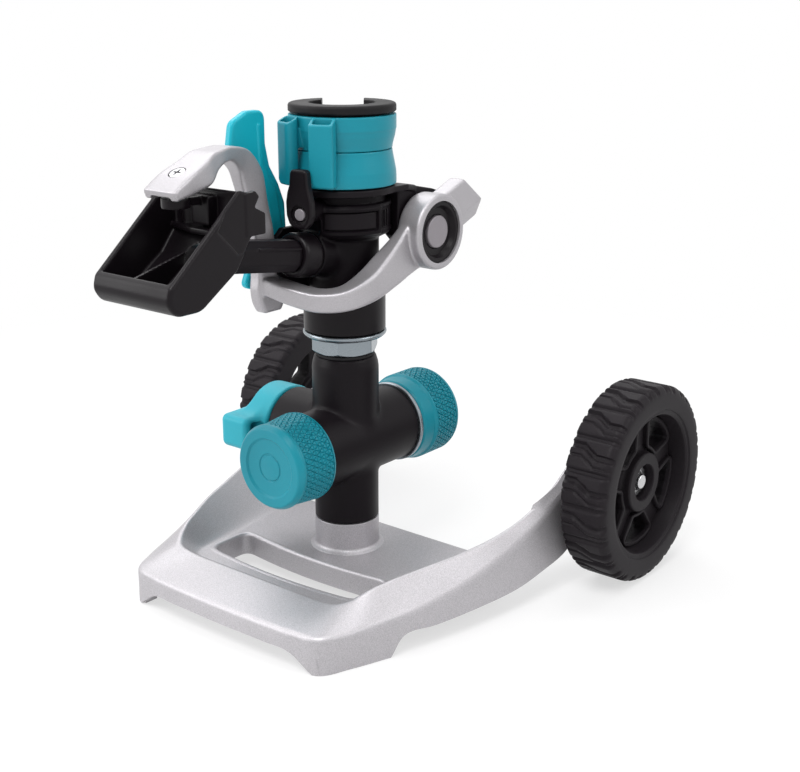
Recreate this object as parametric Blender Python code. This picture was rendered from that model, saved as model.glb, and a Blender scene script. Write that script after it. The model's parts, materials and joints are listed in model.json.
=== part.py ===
"""Impulse sprinkler on a wheeled sled base. Metres, +Z up, the base's front (and the jet) towards -Y.

The pieces are drawn in the sprinkler's own frame, whose Z axis is the riser's centre line and whose floor
is z = 0. The root empty then moves that frame so that the origin lies under the middle of the whole object.
"""

import math

import bmesh
import bpy
from mathutils import Matrix, Vector

MM = 0.001

# Clearances
SEAT_GAP = 0.3 * MM
RUN_GAP = 0.5 * MM
PRESS_GAP = 0.2 * MM

# Wheels and their stub axles
WHEEL_RADIUS = 51 * MM
WHEEL_WIDTH = 26.2 * MM
WHEEL_INNER_X = 98 * MM
WHEEL_GROOVES = 12
WHEEL_GROOVE_DEPTH = 1.6 * MM
RIM_RADIUS = 38 * MM
HUB_RADIUS = 12 * MM
SPOKE_COUNT = 5
AXLE_RADIUS = 4.75 * MM
AXLE_Y = 94.7 * MM
AXLE_Z = WHEEL_RADIUS
RETAINER_RADIUS = 8 * MM
RETAINER_THICKNESS = 2 * MM
AXLE_HEAD_RADIUS = 7.5 * MM
AXLE_HEAD = 2 * MM
EAR_INNER_X = 83 * MM

# Base casting
CASTING_WALL = 3 * MM
FRONT_REACH = 92.5 * MM
CORNER_X = 60.5 * MM
CORNER_Y = 88.5 * MM
BAR_EDGE_Z = 17.8 * MM
CREASE_Z = 22.3 * MM
DECK_Z = 18.6 * MM
DECK_BACK_Y = 29 * MM
DECK_HALF_WIDTH = 52 * MM
SLOT_HALF_LENGTH = 48 * MM
SLOT_FRONT_Y = -53 * MM
SLOT_BACK_Y = -29 * MM
SLOT_BOW = 4 * MM
SLOT_CORNER = 7 * MM
SLOT_WALL_BOTTOM_Z = 7 * MM
BOSS_RADIUS = 16.3 * MM
BOSS_TOP_Z = 34.2 * MM
BOSS_ROOF = 3.5 * MM
BASE_SCREW_RADIUS = 4 * MM
BASE_SCREW_REACH = 14 * MM

# Manifold, with its inlet, its capped port and its valve branch
PORT_Z = 74.5 * MM
RISER_RADIUS = 16.6 * MM
RISER_TOP_Z = 119.2 * MM
BARREL_RADIUS = 19.5 * MM
BARREL_FRONT_Y = -31.5 * MM
BARREL_BACK_Y = 34.6 * MM
BRANCH_RADIUS = 20 * MM
BRANCH_X = -36 * MM
WATER_RADIUS = 9 * MM
THREAD_RADIUS = 13.2 * MM
THREAD_LENGTH = 18 * MM
CAP_RADIUS = 22 * MM
CAP_FACE_RADIUS = 19.5 * MM
CAP_LENGTH = 24 * MM
CAP_FLOOR = 3.4 * MM
SWIVEL_RADIUS = 23 * MM
SWIVEL_LENGTH = 29 * MM
SWIVEL_FLOOR = 6 * MM
TAIL_FLANGE_RADIUS = 20.9 * MM
TAIL_FLANGE = 2 * MM
TAIL_WALL = 1.5 * MM
WASHER_THICKNESS = 2.6 * MM

# Valve
PLUG_RADIUS = 12 * MM
STEM_RADIUS = 5 * MM
LEVER_RADIUS = 20.5 * MM
LEVER_THICKNESS = 15.5 * MM
PADDLE_LENGTH = 30 * MM
PADDLE_HEIGHT = 17.5 * MM
PADDLE_WIDTH = 19 * MM

# Adapter and swivel bearing under the head
GASKET_THICKNESS = 1.2 * MM
HEX_ACROSS_FLATS = 29.5 * MM
HEX_HEIGHT = 8 * MM
ADAPTER_FLANGE_RADIUS = 20.6 * MM
ADAPTER_FLANGE = 3 * MM
ADAPTER_BORE_RADIUS = 7 * MM
SLEEVE_RADIUS = 20.1 * MM
SLEEVE_HEIGHT = 19.7 * MM
SLEEVE_ROOF = 5.5 * MM
SLEEVE_WALL = 5 * MM
HEAD_TUBE_RADIUS = 10.7 * MM
HEAD_TUBE_WALL = 2.4 * MM
SPINDLE_RADIUS = 3.5 * MM

# Heights of that stack, up to the head's seat on the sleeve
HEX_LOW_Z = RISER_TOP_Z + 2 * SEAT_GAP + GASKET_THICKNESS
FLANGE_TOP_Z = HEX_LOW_Z + HEX_HEIGHT + ADAPTER_FLANGE
SLEEVE_LOW_Z = FLANGE_TOP_Z + SEAT_GAP
SLEEVE_TOP_Z = SLEEVE_LOW_Z + SLEEVE_HEIGHT
HEAD_LOW_Z = SLEEVE_TOP_Z + RUN_GAP

# Turning head
NECK_RADIUS = 17 * MM
BAND_RADIUS = 23 * MM
BAND_LOW_Z = HEAD_LOW_Z + 28 * MM
BAND_TOP_Z = HEAD_LOW_Z + 43.5 * MM
PLATE_RADIUS = 25 * MM
PLATE_THICKNESS = 3.4 * MM
PLATE_LOW_Z = HEAD_LOW_Z + 47.1 * MM
PANEL_ANGLE = math.radians(54)
PANEL_HALF_ANGLE = math.radians(32)
PANEL_THICKNESS = 1.6 * MM
JET_RISE = math.radians(8)
JET_ORIGIN_Z = HEAD_LOW_Z + 16.5 * MM
JET_BORE_RADIUS = 4.5 * MM
JET_PORT_RADIUS = 8 * MM
JET_PORT_REACH = 30 * MM
NOZZLE_NUT_RADIUS = 10.5 * MM
NOZZLE_NUT_LENGTH = 9 * MM
NOZZLE_HALF_WIDTH = 7.2 * MM
NOZZLE_HALF_HEIGHT = 7.2 * MM
NOZZLE_TIP_REACH = 82 * MM

# Arc setting drum above the head
DRUM_RADIUS = 25.5 * MM
DRUM_WAIST_RADIUS = 23.6 * MM
DRUM_CORE_RADIUS = 20.6 * MM
DRUM_CORE_WALL = 2.4 * MM
RING_HEIGHT = 16.4 * MM
CROWN_HEIGHT = 4.2 * MM
CROWN_HOLE_RADIUS = 15.5 * MM
CROWN_NOTCH_ANGLE = math.radians(130)
CROWN_NOTCH_WIDTH = 19 * MM
TAB_REACH = 32.5 * MM
TAB_WIDTH = 13 * MM
TAB_WALL = 1.7 * MM
TAB_CORNER = 2 * MM
UPPER_TAB_ANGLE = math.radians(-18)
LOWER_TAB_ANGLE = math.radians(23)

# Trip lever
TRIP_ANGLE = math.radians(9)
TRIP_Z = HEAD_LOW_Z + 41 * MM
TRIP_LEVER_THICKNESS = 4.5 * MM
TRIP_FINGER_TOP_Z = HEAD_LOW_Z + 61.5 * MM
TRIP_FOOT_LOW_Z = HEAD_LOW_Z + 31.5 * MM
TRIP_PIN_RADIUS = 2.8 * MM
TRIP_BOSS_RADIUS = 4.6 * MM

# Swing arm and its pivot
ARM_PIVOT_Y = 32.5 * MM
ARM_PIVOT_Z = HEAD_LOW_Z + 26.5 * MM
ARM_HUB_RADIUS = 18.5 * MM
ARM_HUB_OUTER_X = 34.5 * MM
ARM_HUB_WIDTH = 13 * MM
BUSHING_RADIUS = 15 * MM
ARM_PIN_RADIUS = 6 * MM
ARM_PIN_HEAD_RADIUS = 8 * MM
ARM_PIN_HEAD = 2.5 * MM
WEB_THICKNESS = 9 * MM
LEG_X = -11.3 * MM
LEG_Y = -42 * MM
LEG_HALF_THICKNESS = 3.4 * MM
LEG_LOW_Z = HEAD_LOW_Z - 5.5 * MM
PAD_Z = HEAD_LOW_Z + 62.5 * MM
PAD_HALF_HEIGHT = 3.8 * MM
SCREW_Y = -104 * MM
SCREW_HEAD_RADIUS = 3.6 * MM
SCREW_SHANK_RADIUS = 1.9 * MM

# Scoop
SCOOP_HALF_WIDTH = 24 * MM
SCOOP_WALL = 2.4 * MM
SCOOP_NOSE_Y = -133 * MM
SCOOP_BOSS_RADIUS = 5.5 * MM
SCOOP_BOSS_LOW_Z = HEAD_LOW_Z + 43.5 * MM
SCOOP_WINDOW_RADIUS = 9 * MM

# Diffuser flap
FLAP_PIVOT_Y = -31 * MM
FLAP_PIVOT_Z = HEAD_LOW_Z + 19.5 * MM
FLAP_OUTER_X = -20.5 * MM
FLAP_THICKNESS = 4 * MM
FLAP_PIN_RADIUS = 2 * MM

FAINT_BEND = math.radians(160)
STEPS = 20
FINE_STEPS = 32
SMALL_STEPS = 12
ROOT_Y = (-SCOOP_NOSE_Y - AXLE_Y - WHEEL_RADIUS) / 2

TURNS = {
    "X": Matrix(((0, 0, 1), (1, 0, 0), (0, 1, 0))),
    "Y": Matrix(((0, 1, 0), (0, 0, 1), (1, 0, 0))),
    "Z": Matrix.Identity(3),
}


# Materials

def make_material(name, colour, roughness, metallic=0.0):
    material = bpy.data.materials.new(name)
    material.use_nodes = True
    shader = material.node_tree.nodes["Principled BSDF"]
    shader.inputs["Base Color"].default_value = (*colour, 1.0)
    shader.inputs["Roughness"].default_value = roughness
    shader.inputs["Metallic"].default_value = metallic
    return material


def make_materials():
    kinds = {
        "silver_paint": ((0.58, 0.57, 0.58), 0.42, 0.6),
        "black_plastic": ((0.016, 0.015, 0.017), 0.4, 0.0),
        "black_wheel": ((0.014, 0.013, 0.014), 0.55, 0.0),
        "teal_plastic": ((0.02, 0.33, 0.42), 0.38, 0.0),
        "zinc": ((0.55, 0.6, 0.64), 0.3, 0.9),
        "steel": ((0.6, 0.6, 0.62), 0.3, 1.0),
        "brass": ((0.62, 0.42, 0.14), 0.3, 1.0),
        "rubber": ((0.02, 0.02, 0.02), 0.8, 0.0),
        "nylon": ((0.7, 0.68, 0.62), 0.5, 0.0),
    }
    return {name: make_material(name, *values) for name, values in kinds.items()}


# Mesh makers: each returns a closed bmesh in the sprinkler's frame

def closed(bm):
    bmesh.ops.recalc_face_normals(bm, faces=bm.faces)
    return bm


def turned(profile, axis="Z", centre=(0, 0, 0), steps=STEPS, groove=None):
    """An outline of (radius, height) points turned about an axis. groove(step) lowers the tread's points."""
    bm = bmesh.new()
    centre = Vector(centre)
    largest = max(radius for radius, _ in profile)
    rings = []
    for radius, height in profile:
        ring = []
        for step in range(steps if radius > 0 else 1):
            at_tread = groove is not None and radius > largest - SEAT_GAP
            local_radius = radius - groove(step) if at_tread else radius
            angle = 2 * math.pi * step / steps
            local = Vector((local_radius * math.cos(angle), local_radius * math.sin(angle), height))
            ring.append(bm.verts.new(centre + TURNS[axis] @ local))
        rings.append(ring)
    for low, high in zip(rings, rings[1:] + rings[:1]):
        if len(low) == 1 and len(high) == 1:
            continue
        for step in range(steps):
            after = (step + 1) % steps
            corners = (
                low[step % len(low)],
                low[after % len(low)],
                high[after % len(high)],
                high[step % len(high)],
            )
            bm.faces.new(list(dict.fromkeys(corners)))
    return closed(bm)


def tube(outer, inner, low, high, axis="Z", centre=(0, 0, 0), steps=STEPS):
    return turned([(outer, low), (outer, high), (inner, high), (inner, low)], axis, centre, steps)


def rod(radius, low, high, axis="Z", centre=(0, 0, 0), steps=STEPS):
    return turned([(0, low), (radius, low), (radius, high), (0, high)], axis, centre, steps)


def prism(outline, low, high, axis="Z", centre=(0, 0, 0)):
    """An outline, in the two directions that follow the axis in X, Y, Z order, carried from low to high."""
    bm = bmesh.new()
    centre = Vector(centre)
    ends = []
    for height in (low, high):
        ends.append([bm.verts.new(centre + TURNS[axis] @ Vector((a, b, height))) for a, b in outline])
    for one, other, one_top, other_top in zip(
        ends[0], ends[0][1:] + ends[0][:1], ends[1], ends[1][1:] + ends[1][:1]
    ):
        bm.faces.new((one, other, other_top, one_top))
    for end in ends:
        bm.faces.new(end)
    return closed(bm)


def swept(stations, corner=0.55):
    """A bar through stations of (centre, half width vector, half height vector), its corners cut off."""
    bm = bmesh.new()
    section = [(-1, -corner), (-1, corner), (-corner, 1), (corner, 1)]
    section += [(1, corner), (1, -corner), (corner, -1), (-corner, -1)]
    rings = []
    for centre, across, up in stations:
        points = [Vector(centre) + a * Vector(across) + b * Vector(up) for a, b in section]
        rings.append([bm.verts.new(point) for point in points])
    for near, far in zip(rings, rings[1:]):
        for one, other, one_far, other_far in zip(near, near[1:] + near[:1], far, far[1:] + far[:1]):
            bm.faces.new((one, other, other_far, one_far))
    bm.faces.new(rings[0])
    bm.faces.new(rings[-1])
    return closed(bm)


def arc_block(inner, outer, low, high, middle, half_angle, steps=10):
    """A block bent round the Z axis. Its angle runs from -Y towards +X."""
    outline = []
    for radius, way in ((outer, 1), (inner, -1)):
        for step in range(steps + 1):
            angle = middle + way * half_angle * (2 * step / steps - 1)
            outline.append((radius * math.sin(angle), -radius * math.cos(angle)))
    return prism(outline, low, high)


def rounded_outline(points, radius, steps=3):
    """The closed outline with an arc at each corner, smaller between short sides. Faint bends stay."""
    rounded = []
    for before, corner, after in zip(points[-1:] + points[:-1], points, points[1:] + points[:1]):
        corner = Vector(corner)
        arm_in = Vector(before) - corner
        arm_out = Vector(after) - corner
        half = arm_in.angle(arm_out) / 2
        if half > FAINT_BEND / 2:
            rounded.append(tuple(corner))
            continue
        back = min(radius / math.tan(half), arm_in.length * 0.45, arm_out.length * 0.45)
        start = corner + arm_in.normalized() * back
        end = corner + arm_out.normalized() * back
        bend = (arm_in.normalized() + arm_out.normalized()).normalized()
        centre = corner + bend * (back / math.cos(half))
        for step in range(steps + 1):
            share = step / steps
            ray = (start - centre).lerp(end - centre, share)
            rounded.append(tuple(centre + ray.normalized() * (start - centre).length))
    return rounded


def rectangle(width, height, centre=(0, 0)):
    x, y = centre
    corners = ((-1, -1), (1, -1), (1, 1), (-1, 1))
    return [(x + a * width / 2, y + b * height / 2) for a, b in corners]


def turned_about_z(bm, angle):
    bmesh.ops.rotate(bm, verts=bm.verts, cent=(0, 0, 0), matrix=Matrix.Rotation(angle, 3, "Z"))
    return bm


# Objects

def new_empty(name, location, parent=None):
    empty = bpy.data.objects.new(name, None)
    empty.empty_display_size = 0.02
    bpy.context.scene.collection.objects.link(empty)
    empty.location = location
    if parent is not None:
        empty.parent = parent
        empty.location = Vector(location) - Vector(parent["frame_point"])
    empty["frame_point"] = tuple(location)
    return empty


def new_object(name, bm, material, pivot):
    """The mesh as an object whose origin is the pivot empty's point in the sprinkler's frame."""
    bmesh.ops.translate(bm, verts=bm.verts, vec=-Vector(pivot["frame_point"]))
    mesh = bpy.data.meshes.new(name)
    bm.to_mesh(mesh)
    bm.free()
    mesh.shade_smooth()
    mesh.set_sharp_from_angle(angle=math.radians(35))
    if material is not None:
        mesh.materials.append(material)
    obj = bpy.data.objects.new(name, mesh)
    bpy.context.scene.collection.objects.link(obj)
    obj.parent = pivot
    return obj


def boolean(obj, bm, operation, name):
    helper = new_object(name, bm, None, obj.parent)
    helper.hide_render = True
    helper.display_type = "WIRE"
    modifier = obj.modifiers.new(name, "BOOLEAN")
    modifier.operation = operation
    modifier.solver = "EXACT"
    modifier.object = helper
    return obj


def cut(obj, bm, name):
    return boolean(obj, bm, "DIFFERENCE", f"{obj.name}_{name}_cutter")


def join(obj, bm, name):
    return boolean(obj, bm, "UNION", f"{obj.name}_{name}_block")


def use_manifold_solver(obj):
    """For a piece of many cuts, where the exact solver leaves open edges."""
    for modifier in obj.modifiers:
        if modifier.type == "BOOLEAN":
            modifier.solver = "MANIFOLD"
    return obj


def bevel(obj, width, segments=2, angle=math.radians(40)):
    modifier = obj.modifiers.new("edge_bevel", "BEVEL")
    modifier.width = width
    modifier.segments = segments
    modifier.limit_method = "ANGLE"
    modifier.angle_limit = angle
    return obj


# Base

def base_stations():
    """Points across the right half of the casting: outer low edge, outer top edge, ridge, middle of the
    fillet, deck edge. They run from the middle of the front bar round the foot and along the rail."""
    reach, edge, crease = FRONT_REACH / MM, BAR_EDGE_Z / MM, CREASE_Z / MM
    x, y = CORNER_X / MM, -CORNER_Y / MM
    half, end = DECK_HALF_WIDTH / MM, AXLE_Y / MM + 7
    deck, axle = DECK_Z / MM, AXLE_Z / MM
    lows = [(0, -reach - 1, 9), (x - 30, -reach - 0.5, 9), (x - 15, y - 3.5, 8), (x, y, -2)]
    lows += [(x + 6.5, y + 13.5, -2), (x + 13, y + 30.5, -2), (77, -49, 9.3), (82, -31, 9.3), (88, -6, 10.2)]
    lows += [(92, 20, 11.2), (94, 40, 14.5), (95.5, 58, 19), (96.3, 76, 30), (96.3, end, axle - 10)]
    tops = [(0, -reach, edge), (x - 30, -reach + 0.5, edge), (x - 13, y - 2.5, edge), (x, y, edge)]
    tops += [(x + 7, y + 11.5, edge - 0.2), (x + 12, y + 26.5, edge + 0.6), (76, -51, edge + 1.1)]
    tops += [(80.5, -34, edge + 2.4), (86.5, -8, edge + 7.8), (90.2, 18, edge + 15), (93, 38, edge + 23.3)]
    tops += [(94.5, 55, edge + 32.8), (95.3, 73, edge + 43.5), (95.3, end, axle + 14)]
    ridges = [(0, -65.5, crease), (half - 23, -65.5, crease), (half - 8, -66, crease + 0.7)]
    ridges += [(half, -66.5, crease + 2.7), (half + 5, -62.5, crease + 4.7), (half + 9.5, -54, 31)]
    ridges += [(half + 13.5, -44, 33), (half + 19.3, -30, 35.1), (half + 26.5, -8, 37.2)]
    ridges += [(half + 32, 12, 40.3), (half + 35.3, 32, 45.2), (half + 37.5, 53, 54.5)]
    ridges += [(half + 38.5, 71, 66), (half + 38.7, end, axle + 17.5)]
    feet = [(0, -61.5, deck), (half - 23, -61, deck), (half - 9, -60.5, deck), (half - 5, -59, deck)]
    feet += [(half - 2.5, -54, deck), (half - 1.5, -47, deck), (half - 1, -38, deck)]
    feet += [(half + 0.5, -24, deck), (half + 3, -3, deck), (half + 7, 20, deck)]
    feet += [(half + 16, 36, deck + 6), (half + 26, 52, deck + 16)]
    feet += [(half + 32, 70, deck + 26), (half + 34, end, axle - 6)]
    stations = []
    for low, top, ridge, foot in zip(lows, tops, ridges, feet):
        fillet = [f + share * (r - f) for f, r, share in zip(foot, ridge, (0.42, 0.42, 0.2))]
        stations.append([Vector(point) * MM for point in (low, top, ridge, fillet, foot)])
    return stations


def slot_outline(grow=0.0):
    """The hand slot, bowed forward in its middle. grow moves the outline outwards."""
    half = SLOT_HALF_LENGTH + grow
    count = 6
    front = []
    back = []
    for step in range(count + 1):
        share = 2 * step / count - 1
        bow = SLOT_BOW * (1 - share * share)
        front.append((share * half, SLOT_FRONT_Y + SLOT_BOW - bow - grow))
        back.append((-share * half, SLOT_BACK_Y + SLOT_BOW - bow + grow))
    return rounded_outline(front + back, SLOT_CORNER + grow)


def base_sheet():
    """The right half of the casting's outer skin, before it is mirrored and given its wall."""
    bm = bmesh.new()
    rows = [[bm.verts.new(point) for point in row] for row in base_stations()]
    for near, far in zip(rows, rows[1:]):
        for one, other, one_far, other_far in zip(near, near[1:], far, far[1:]):
            bm.faces.new((one, one_far, other_far, other))
    deck_edge = [row[-1] for row in rows if row[-1].co.z < DECK_Z + SEAT_GAP]
    corner = bm.verts.new((deck_edge[-1].co.x + 3 * MM, DECK_BACK_Y, DECK_Z))
    middle = bm.verts.new((0, DECK_BACK_Y, DECK_Z))
    bm.faces.new(deck_edge + [corner, middle])
    first_raised = rows[len(deck_edge)][-1]
    bm.faces.new((deck_edge[-1], first_raised, corner))
    lip_corner = bm.verts.new((corner.co.x, DECK_BACK_Y + 1 * MM, DECK_Z - 8 * MM))
    lip_middle = bm.verts.new((0, DECK_BACK_Y + 1 * MM, DECK_Z - 8 * MM))
    bm.faces.new((corner, middle, lip_middle, lip_corner))
    bmesh.ops.recalc_face_normals(bm, faces=bm.faces)
    deck_face = max(bm.faces, key=lambda face: len(face.verts))
    if deck_face.normal.z < 0:
        bmesh.ops.reverse_faces(bm, faces=bm.faces)
    return bm


def build_base(root, materials):
    base = new_object("base_casting", base_sheet(), materials["silver_paint"], root)
    mirror = base.modifiers.new("left_half", "MIRROR")
    mirror.merge_threshold = 0.00005
    wall = base.modifiers.new("wall", "SOLIDIFY")
    wall.thickness = CASTING_WALL
    wall.offset = -1
    wall.use_even_offset = True
    collar_top = DECK_Z - 1 * MM
    join(base, prism(slot_outline(CASTING_WALL), SLOT_WALL_BOTTOM_Z, collar_top), "slot_collar")
    boss = [
        (0, DECK_Z - 1.5 * MM),
        (BOSS_RADIUS + 1.6 * MM, DECK_Z - 1.5 * MM),
        (BOSS_RADIUS + 1.6 * MM, DECK_Z + 0.4 * MM),
        (BOSS_RADIUS, DECK_Z + 1.6 * MM),
        (BOSS_RADIUS, BOSS_TOP_Z),
        (0, BOSS_TOP_Z),
    ]
    join(base, turned(boss, steps=FINE_STEPS), "boss")
    for side in (-1, 1):
        ends = sorted((side * (WHEEL_INNER_X - SEAT_GAP), side * EAR_INNER_X))
        ear = rod(AXLE_RADIUS + 4 * MM, *ends, axis="X", centre=(0, AXLE_Y, AXLE_Z))
        join(base, ear, f"axle_ear_{'left' if side < 0 else 'right'}")
    cut(base, prism(slot_outline(), -1 * MM, CREASE_Z + 20 * MM), "slot")
    bore_radius = BOSS_RADIUS - CASTING_WALL
    bore_top = BOSS_TOP_Z - BOSS_ROOF
    hole_radius = BASE_SCREW_RADIUS + SEAT_GAP
    bore = [(0, -1 * MM), (bore_radius, -1 * MM), (bore_radius, bore_top)]
    bore += [(hole_radius, bore_top), (hole_radius, BOSS_TOP_Z + 1 * MM), (0, BOSS_TOP_Z + 1 * MM)]
    cut(base, turned(bore), "boss_bore")
    axle_hole = rod(AXLE_RADIUS + PRESS_GAP, -0.2, 0.2, axis="X", centre=(0, AXLE_Y, AXLE_Z))
    cut(base, axle_hole, "axle_hole")
    cut(base, prism(rectangle(0.5, 0.5), -0.05, 0), "floor")
    use_manifold_solver(base)

    head = BASE_SCREW_RADIUS * 1.8
    head_top = BOSS_TOP_Z - BOSS_ROOF - SEAT_GAP
    head_low = head_top - BASE_SCREW_RADIUS * 1.3
    shank_top = BOSS_TOP_Z + BASE_SCREW_REACH
    screw = [(0, head_low), (head, head_low), (head, head_top)]
    screw += [(BASE_SCREW_RADIUS, head_top), (BASE_SCREW_RADIUS, shank_top), (0, shank_top)]
    new_object("base_screw", turned(screw, steps=SMALL_STEPS), materials["steel"], root)


# Wheels

def wheel_profile():
    """Outline of (radius, x) from the hub's bore out along the inner side and back along the outer side."""
    inner = WHEEL_INNER_X
    outer = WHEEL_INNER_X + WHEEL_WIDTH
    bore = AXLE_RADIUS + RUN_GAP
    web_inner = inner + 9 * MM
    web_outer = outer - 9 * MM
    shoulder = 1.5 * MM
    return [
        (bore, inner),
        (HUB_RADIUS, inner),
        (HUB_RADIUS + 2 * MM, web_inner),
        (RIM_RADIUS - 2 * MM, web_inner),
        (RIM_RADIUS, inner + 1 * MM),
        (WHEEL_RADIUS - shoulder, inner + 1 * MM),
        (WHEEL_RADIUS, inner + shoulder),
        (WHEEL_RADIUS, outer - shoulder),
        (WHEEL_RADIUS - shoulder, outer),
        (RIM_RADIUS, outer - 1 * MM),
        (RIM_RADIUS - 2 * MM, web_outer),
        (HUB_RADIUS + 2 * MM, web_outer),
        (HUB_RADIUS, outer - 5 * MM),
        (RETAINER_RADIUS + 1 * MM, outer - 5 * MM),
        (RETAINER_RADIUS + 1 * MM, outer - 12 * MM),
        (bore, outer - 12 * MM),
    ]


def spoke_window(number, centre):
    """The opening between two spokes, a rounded wedge cut through the web."""
    middle = 2 * math.pi * (number + 0.5) / SPOKE_COUNT + math.pi / 2
    inner = HUB_RADIUS + 5 * MM
    outer = RIM_RADIUS - 4.5 * MM
    corners = []
    for radius, half in ((inner, math.radians(16)), (outer, math.radians(25))):
        pair = [(radius * math.cos(middle + a), radius * math.sin(middle + a)) for a in (-half, half)]
        corners += pair if radius == inner else pair[::-1]
    outline = rounded_outline(corners, 2.5 * MM, steps=2)
    return prism(outline, centre, centre + WHEEL_WIDTH, axis="X")


def build_wheel(side, root, materials):
    name = "right" if side > 0 else "left"
    axis = new_empty(f"wheel_{name}_axis", (0, AXLE_Y, AXLE_Z), root)
    steps = 3 * WHEEL_GROOVES

    def groove(step):
        return WHEEL_GROOVE_DEPTH if step % 3 == 1 else 0.0

    profile = [(radius, side * x) for radius, x in wheel_profile()]
    centre = (0, AXLE_Y, AXLE_Z)
    wheel = turned(profile, axis="X", centre=centre, steps=steps, groove=groove)
    wheel = new_object(f"wheel_{name}", wheel, materials["black_wheel"], axis)
    start = WHEEL_INNER_X if side > 0 else -WHEEL_INNER_X - WHEEL_WIDTH
    for number in range(SPOKE_COUNT):
        window = spoke_window(number, start)
        bmesh.ops.translate(window, verts=window.verts, vec=(0, AXLE_Y, AXLE_Z))
        cut(wheel, window, f"window_{number + 1}")
    return axis


def retainer_x():
    return WHEEL_INNER_X + WHEEL_WIDTH - 12 * MM + SEAT_GAP


def build_axles(root, materials):
    """A stub axle in each rail's ear, with a head inside the ear and a retainer outside the wheel's hub."""
    centre = (0, AXLE_Y, AXLE_Z)
    head_outer = EAR_INNER_X - SEAT_GAP
    end = retainer_x() + RETAINER_THICKNESS + 3 * MM
    outline = [
        (0, head_outer - AXLE_HEAD),
        (AXLE_HEAD_RADIUS, head_outer - AXLE_HEAD),
        (AXLE_HEAD_RADIUS, head_outer),
        (AXLE_RADIUS, head_outer),
        (AXLE_RADIUS, end - 1 * MM),
        (AXLE_RADIUS - 1 * MM, end),
        (0, end),
    ]
    for side, name in ((1, "right"), (-1, "left")):
        profile = [(radius, side * x) for radius, x in outline]
        new_object(f"axle_{name}", turned(profile, "X", centre, SMALL_STEPS), materials["steel"], root)
        ends = sorted((side * retainer_x(), side * (retainer_x() + RETAINER_THICKNESS)))
        hole = AXLE_RADIUS + SEAT_GAP
        ring = tube(RETAINER_RADIUS, hole, *ends, axis="X", centre=centre, steps=SMALL_STEPS)
        new_object(f"axle_retainer_{name}", ring, materials["steel"], root)


# Manifold and what is screwed to it

def build_manifold(root, materials):
    across = (0, 0, PORT_Z)
    low = BOSS_TOP_Z + SEAT_GAP
    riser = [
        (0, low),
        (BOSS_RADIUS - 0.1 * MM, low),
        (RISER_RADIUS, PORT_Z),
        (RISER_RADIUS, RISER_TOP_Z - 5 * MM),
        (RISER_RADIUS - 1.2 * MM, RISER_TOP_Z),
        (0, RISER_TOP_Z),
    ]
    manifold = new_object("manifold", turned(riser, steps=FINE_STEPS), materials["black_plastic"], root)
    front, back = BARREL_FRONT_Y, BARREL_BACK_Y
    barrel = [(0, front - THREAD_LENGTH), (THREAD_RADIUS, front - THREAD_LENGTH), (THREAD_RADIUS, front)]
    barrel += [(BARREL_RADIUS, front), (BARREL_RADIUS, back), (0, back)]
    join(manifold, turned(barrel, "Y", across, FINE_STEPS), "barrel")
    join(manifold, rod(BRANCH_RADIUS, BRANCH_X, 0, "X", across, FINE_STEPS), "branch")
    cut(manifold, rod(PLUG_RADIUS + SEAT_GAP, BRANCH_X - 1 * MM, PLUG_RADIUS, "X", across), "valve_bore")
    cut(manifold, rod(WATER_RADIUS, front - THREAD_LENGTH - 1 * MM, back + 1 * MM, "Y", across), "water_way")
    cut(manifold, rod(WATER_RADIUS + 1 * MM, PORT_Z, RISER_TOP_Z + 1 * MM), "riser_bore")
    screw_top = BOSS_TOP_Z + BASE_SCREW_REACH + 1 * MM
    hole = rod(BASE_SCREW_RADIUS + SEAT_GAP, low - 1 * MM, screw_top, steps=SMALL_STEPS)
    cut(manifold, hole, "screw_hole")
    use_manifold_solver(manifold)


def build_inlet(root, materials):
    across = (0, 0, PORT_Z)
    flange = BARREL_BACK_Y + SEAT_GAP
    swivel_front = flange + TAIL_FLANGE + RUN_GAP
    floor_end = swivel_front + SWIVEL_FLOOR
    neck = WATER_RADIUS
    bore = neck - TAIL_WALL
    tail_lip = floor_end + RUN_GAP
    lip_radius = THREAD_RADIUS - 1 * MM
    profile = [
        (bore, flange - 12 * MM),
        (neck - PRESS_GAP, flange - 12 * MM),
        (neck - PRESS_GAP, flange),
        (TAIL_FLANGE_RADIUS, flange),
        (TAIL_FLANGE_RADIUS, flange + TAIL_FLANGE),
        (neck, flange + TAIL_FLANGE),
        (neck, tail_lip),
        (lip_radius, tail_lip),
        (lip_radius, tail_lip + 2 * MM),
        (bore, tail_lip + 2 * MM),
    ]
    new_object("inlet_tail", turned(profile, "Y", across, STEPS), materials["zinc"], root)

    axis = new_empty("swivel_axis", (0, 0, PORT_Z), root)
    end = swivel_front + SWIVEL_LENGTH
    hole = neck + RUN_GAP
    socket = THREAD_RADIUS + SEAT_GAP
    outer = SWIVEL_RADIUS
    profile = [
        (hole, swivel_front),
        (outer - 1.5 * MM, swivel_front),
        (outer, swivel_front + 1.5 * MM),
        (outer, end - 5 * MM),
        (outer - 1.4 * MM, end - 2 * MM),
        (outer - 4.5 * MM, end),
        (socket + 1 * MM, end),
        (socket, end - 1 * MM),
        (socket, floor_end),
        (hole, floor_end),
    ]
    new_object("hose_swivel", turned(profile, "Y", across, FINE_STEPS), materials["teal_plastic"], axis)
    seat = tail_lip + 2 * MM + SEAT_GAP
    washer = tube(THREAD_RADIUS - SEAT_GAP, bore, seat, seat + WASHER_THICKNESS, "Y", across)
    new_object("hose_washer", washer, materials["rubber"], axis)


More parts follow.
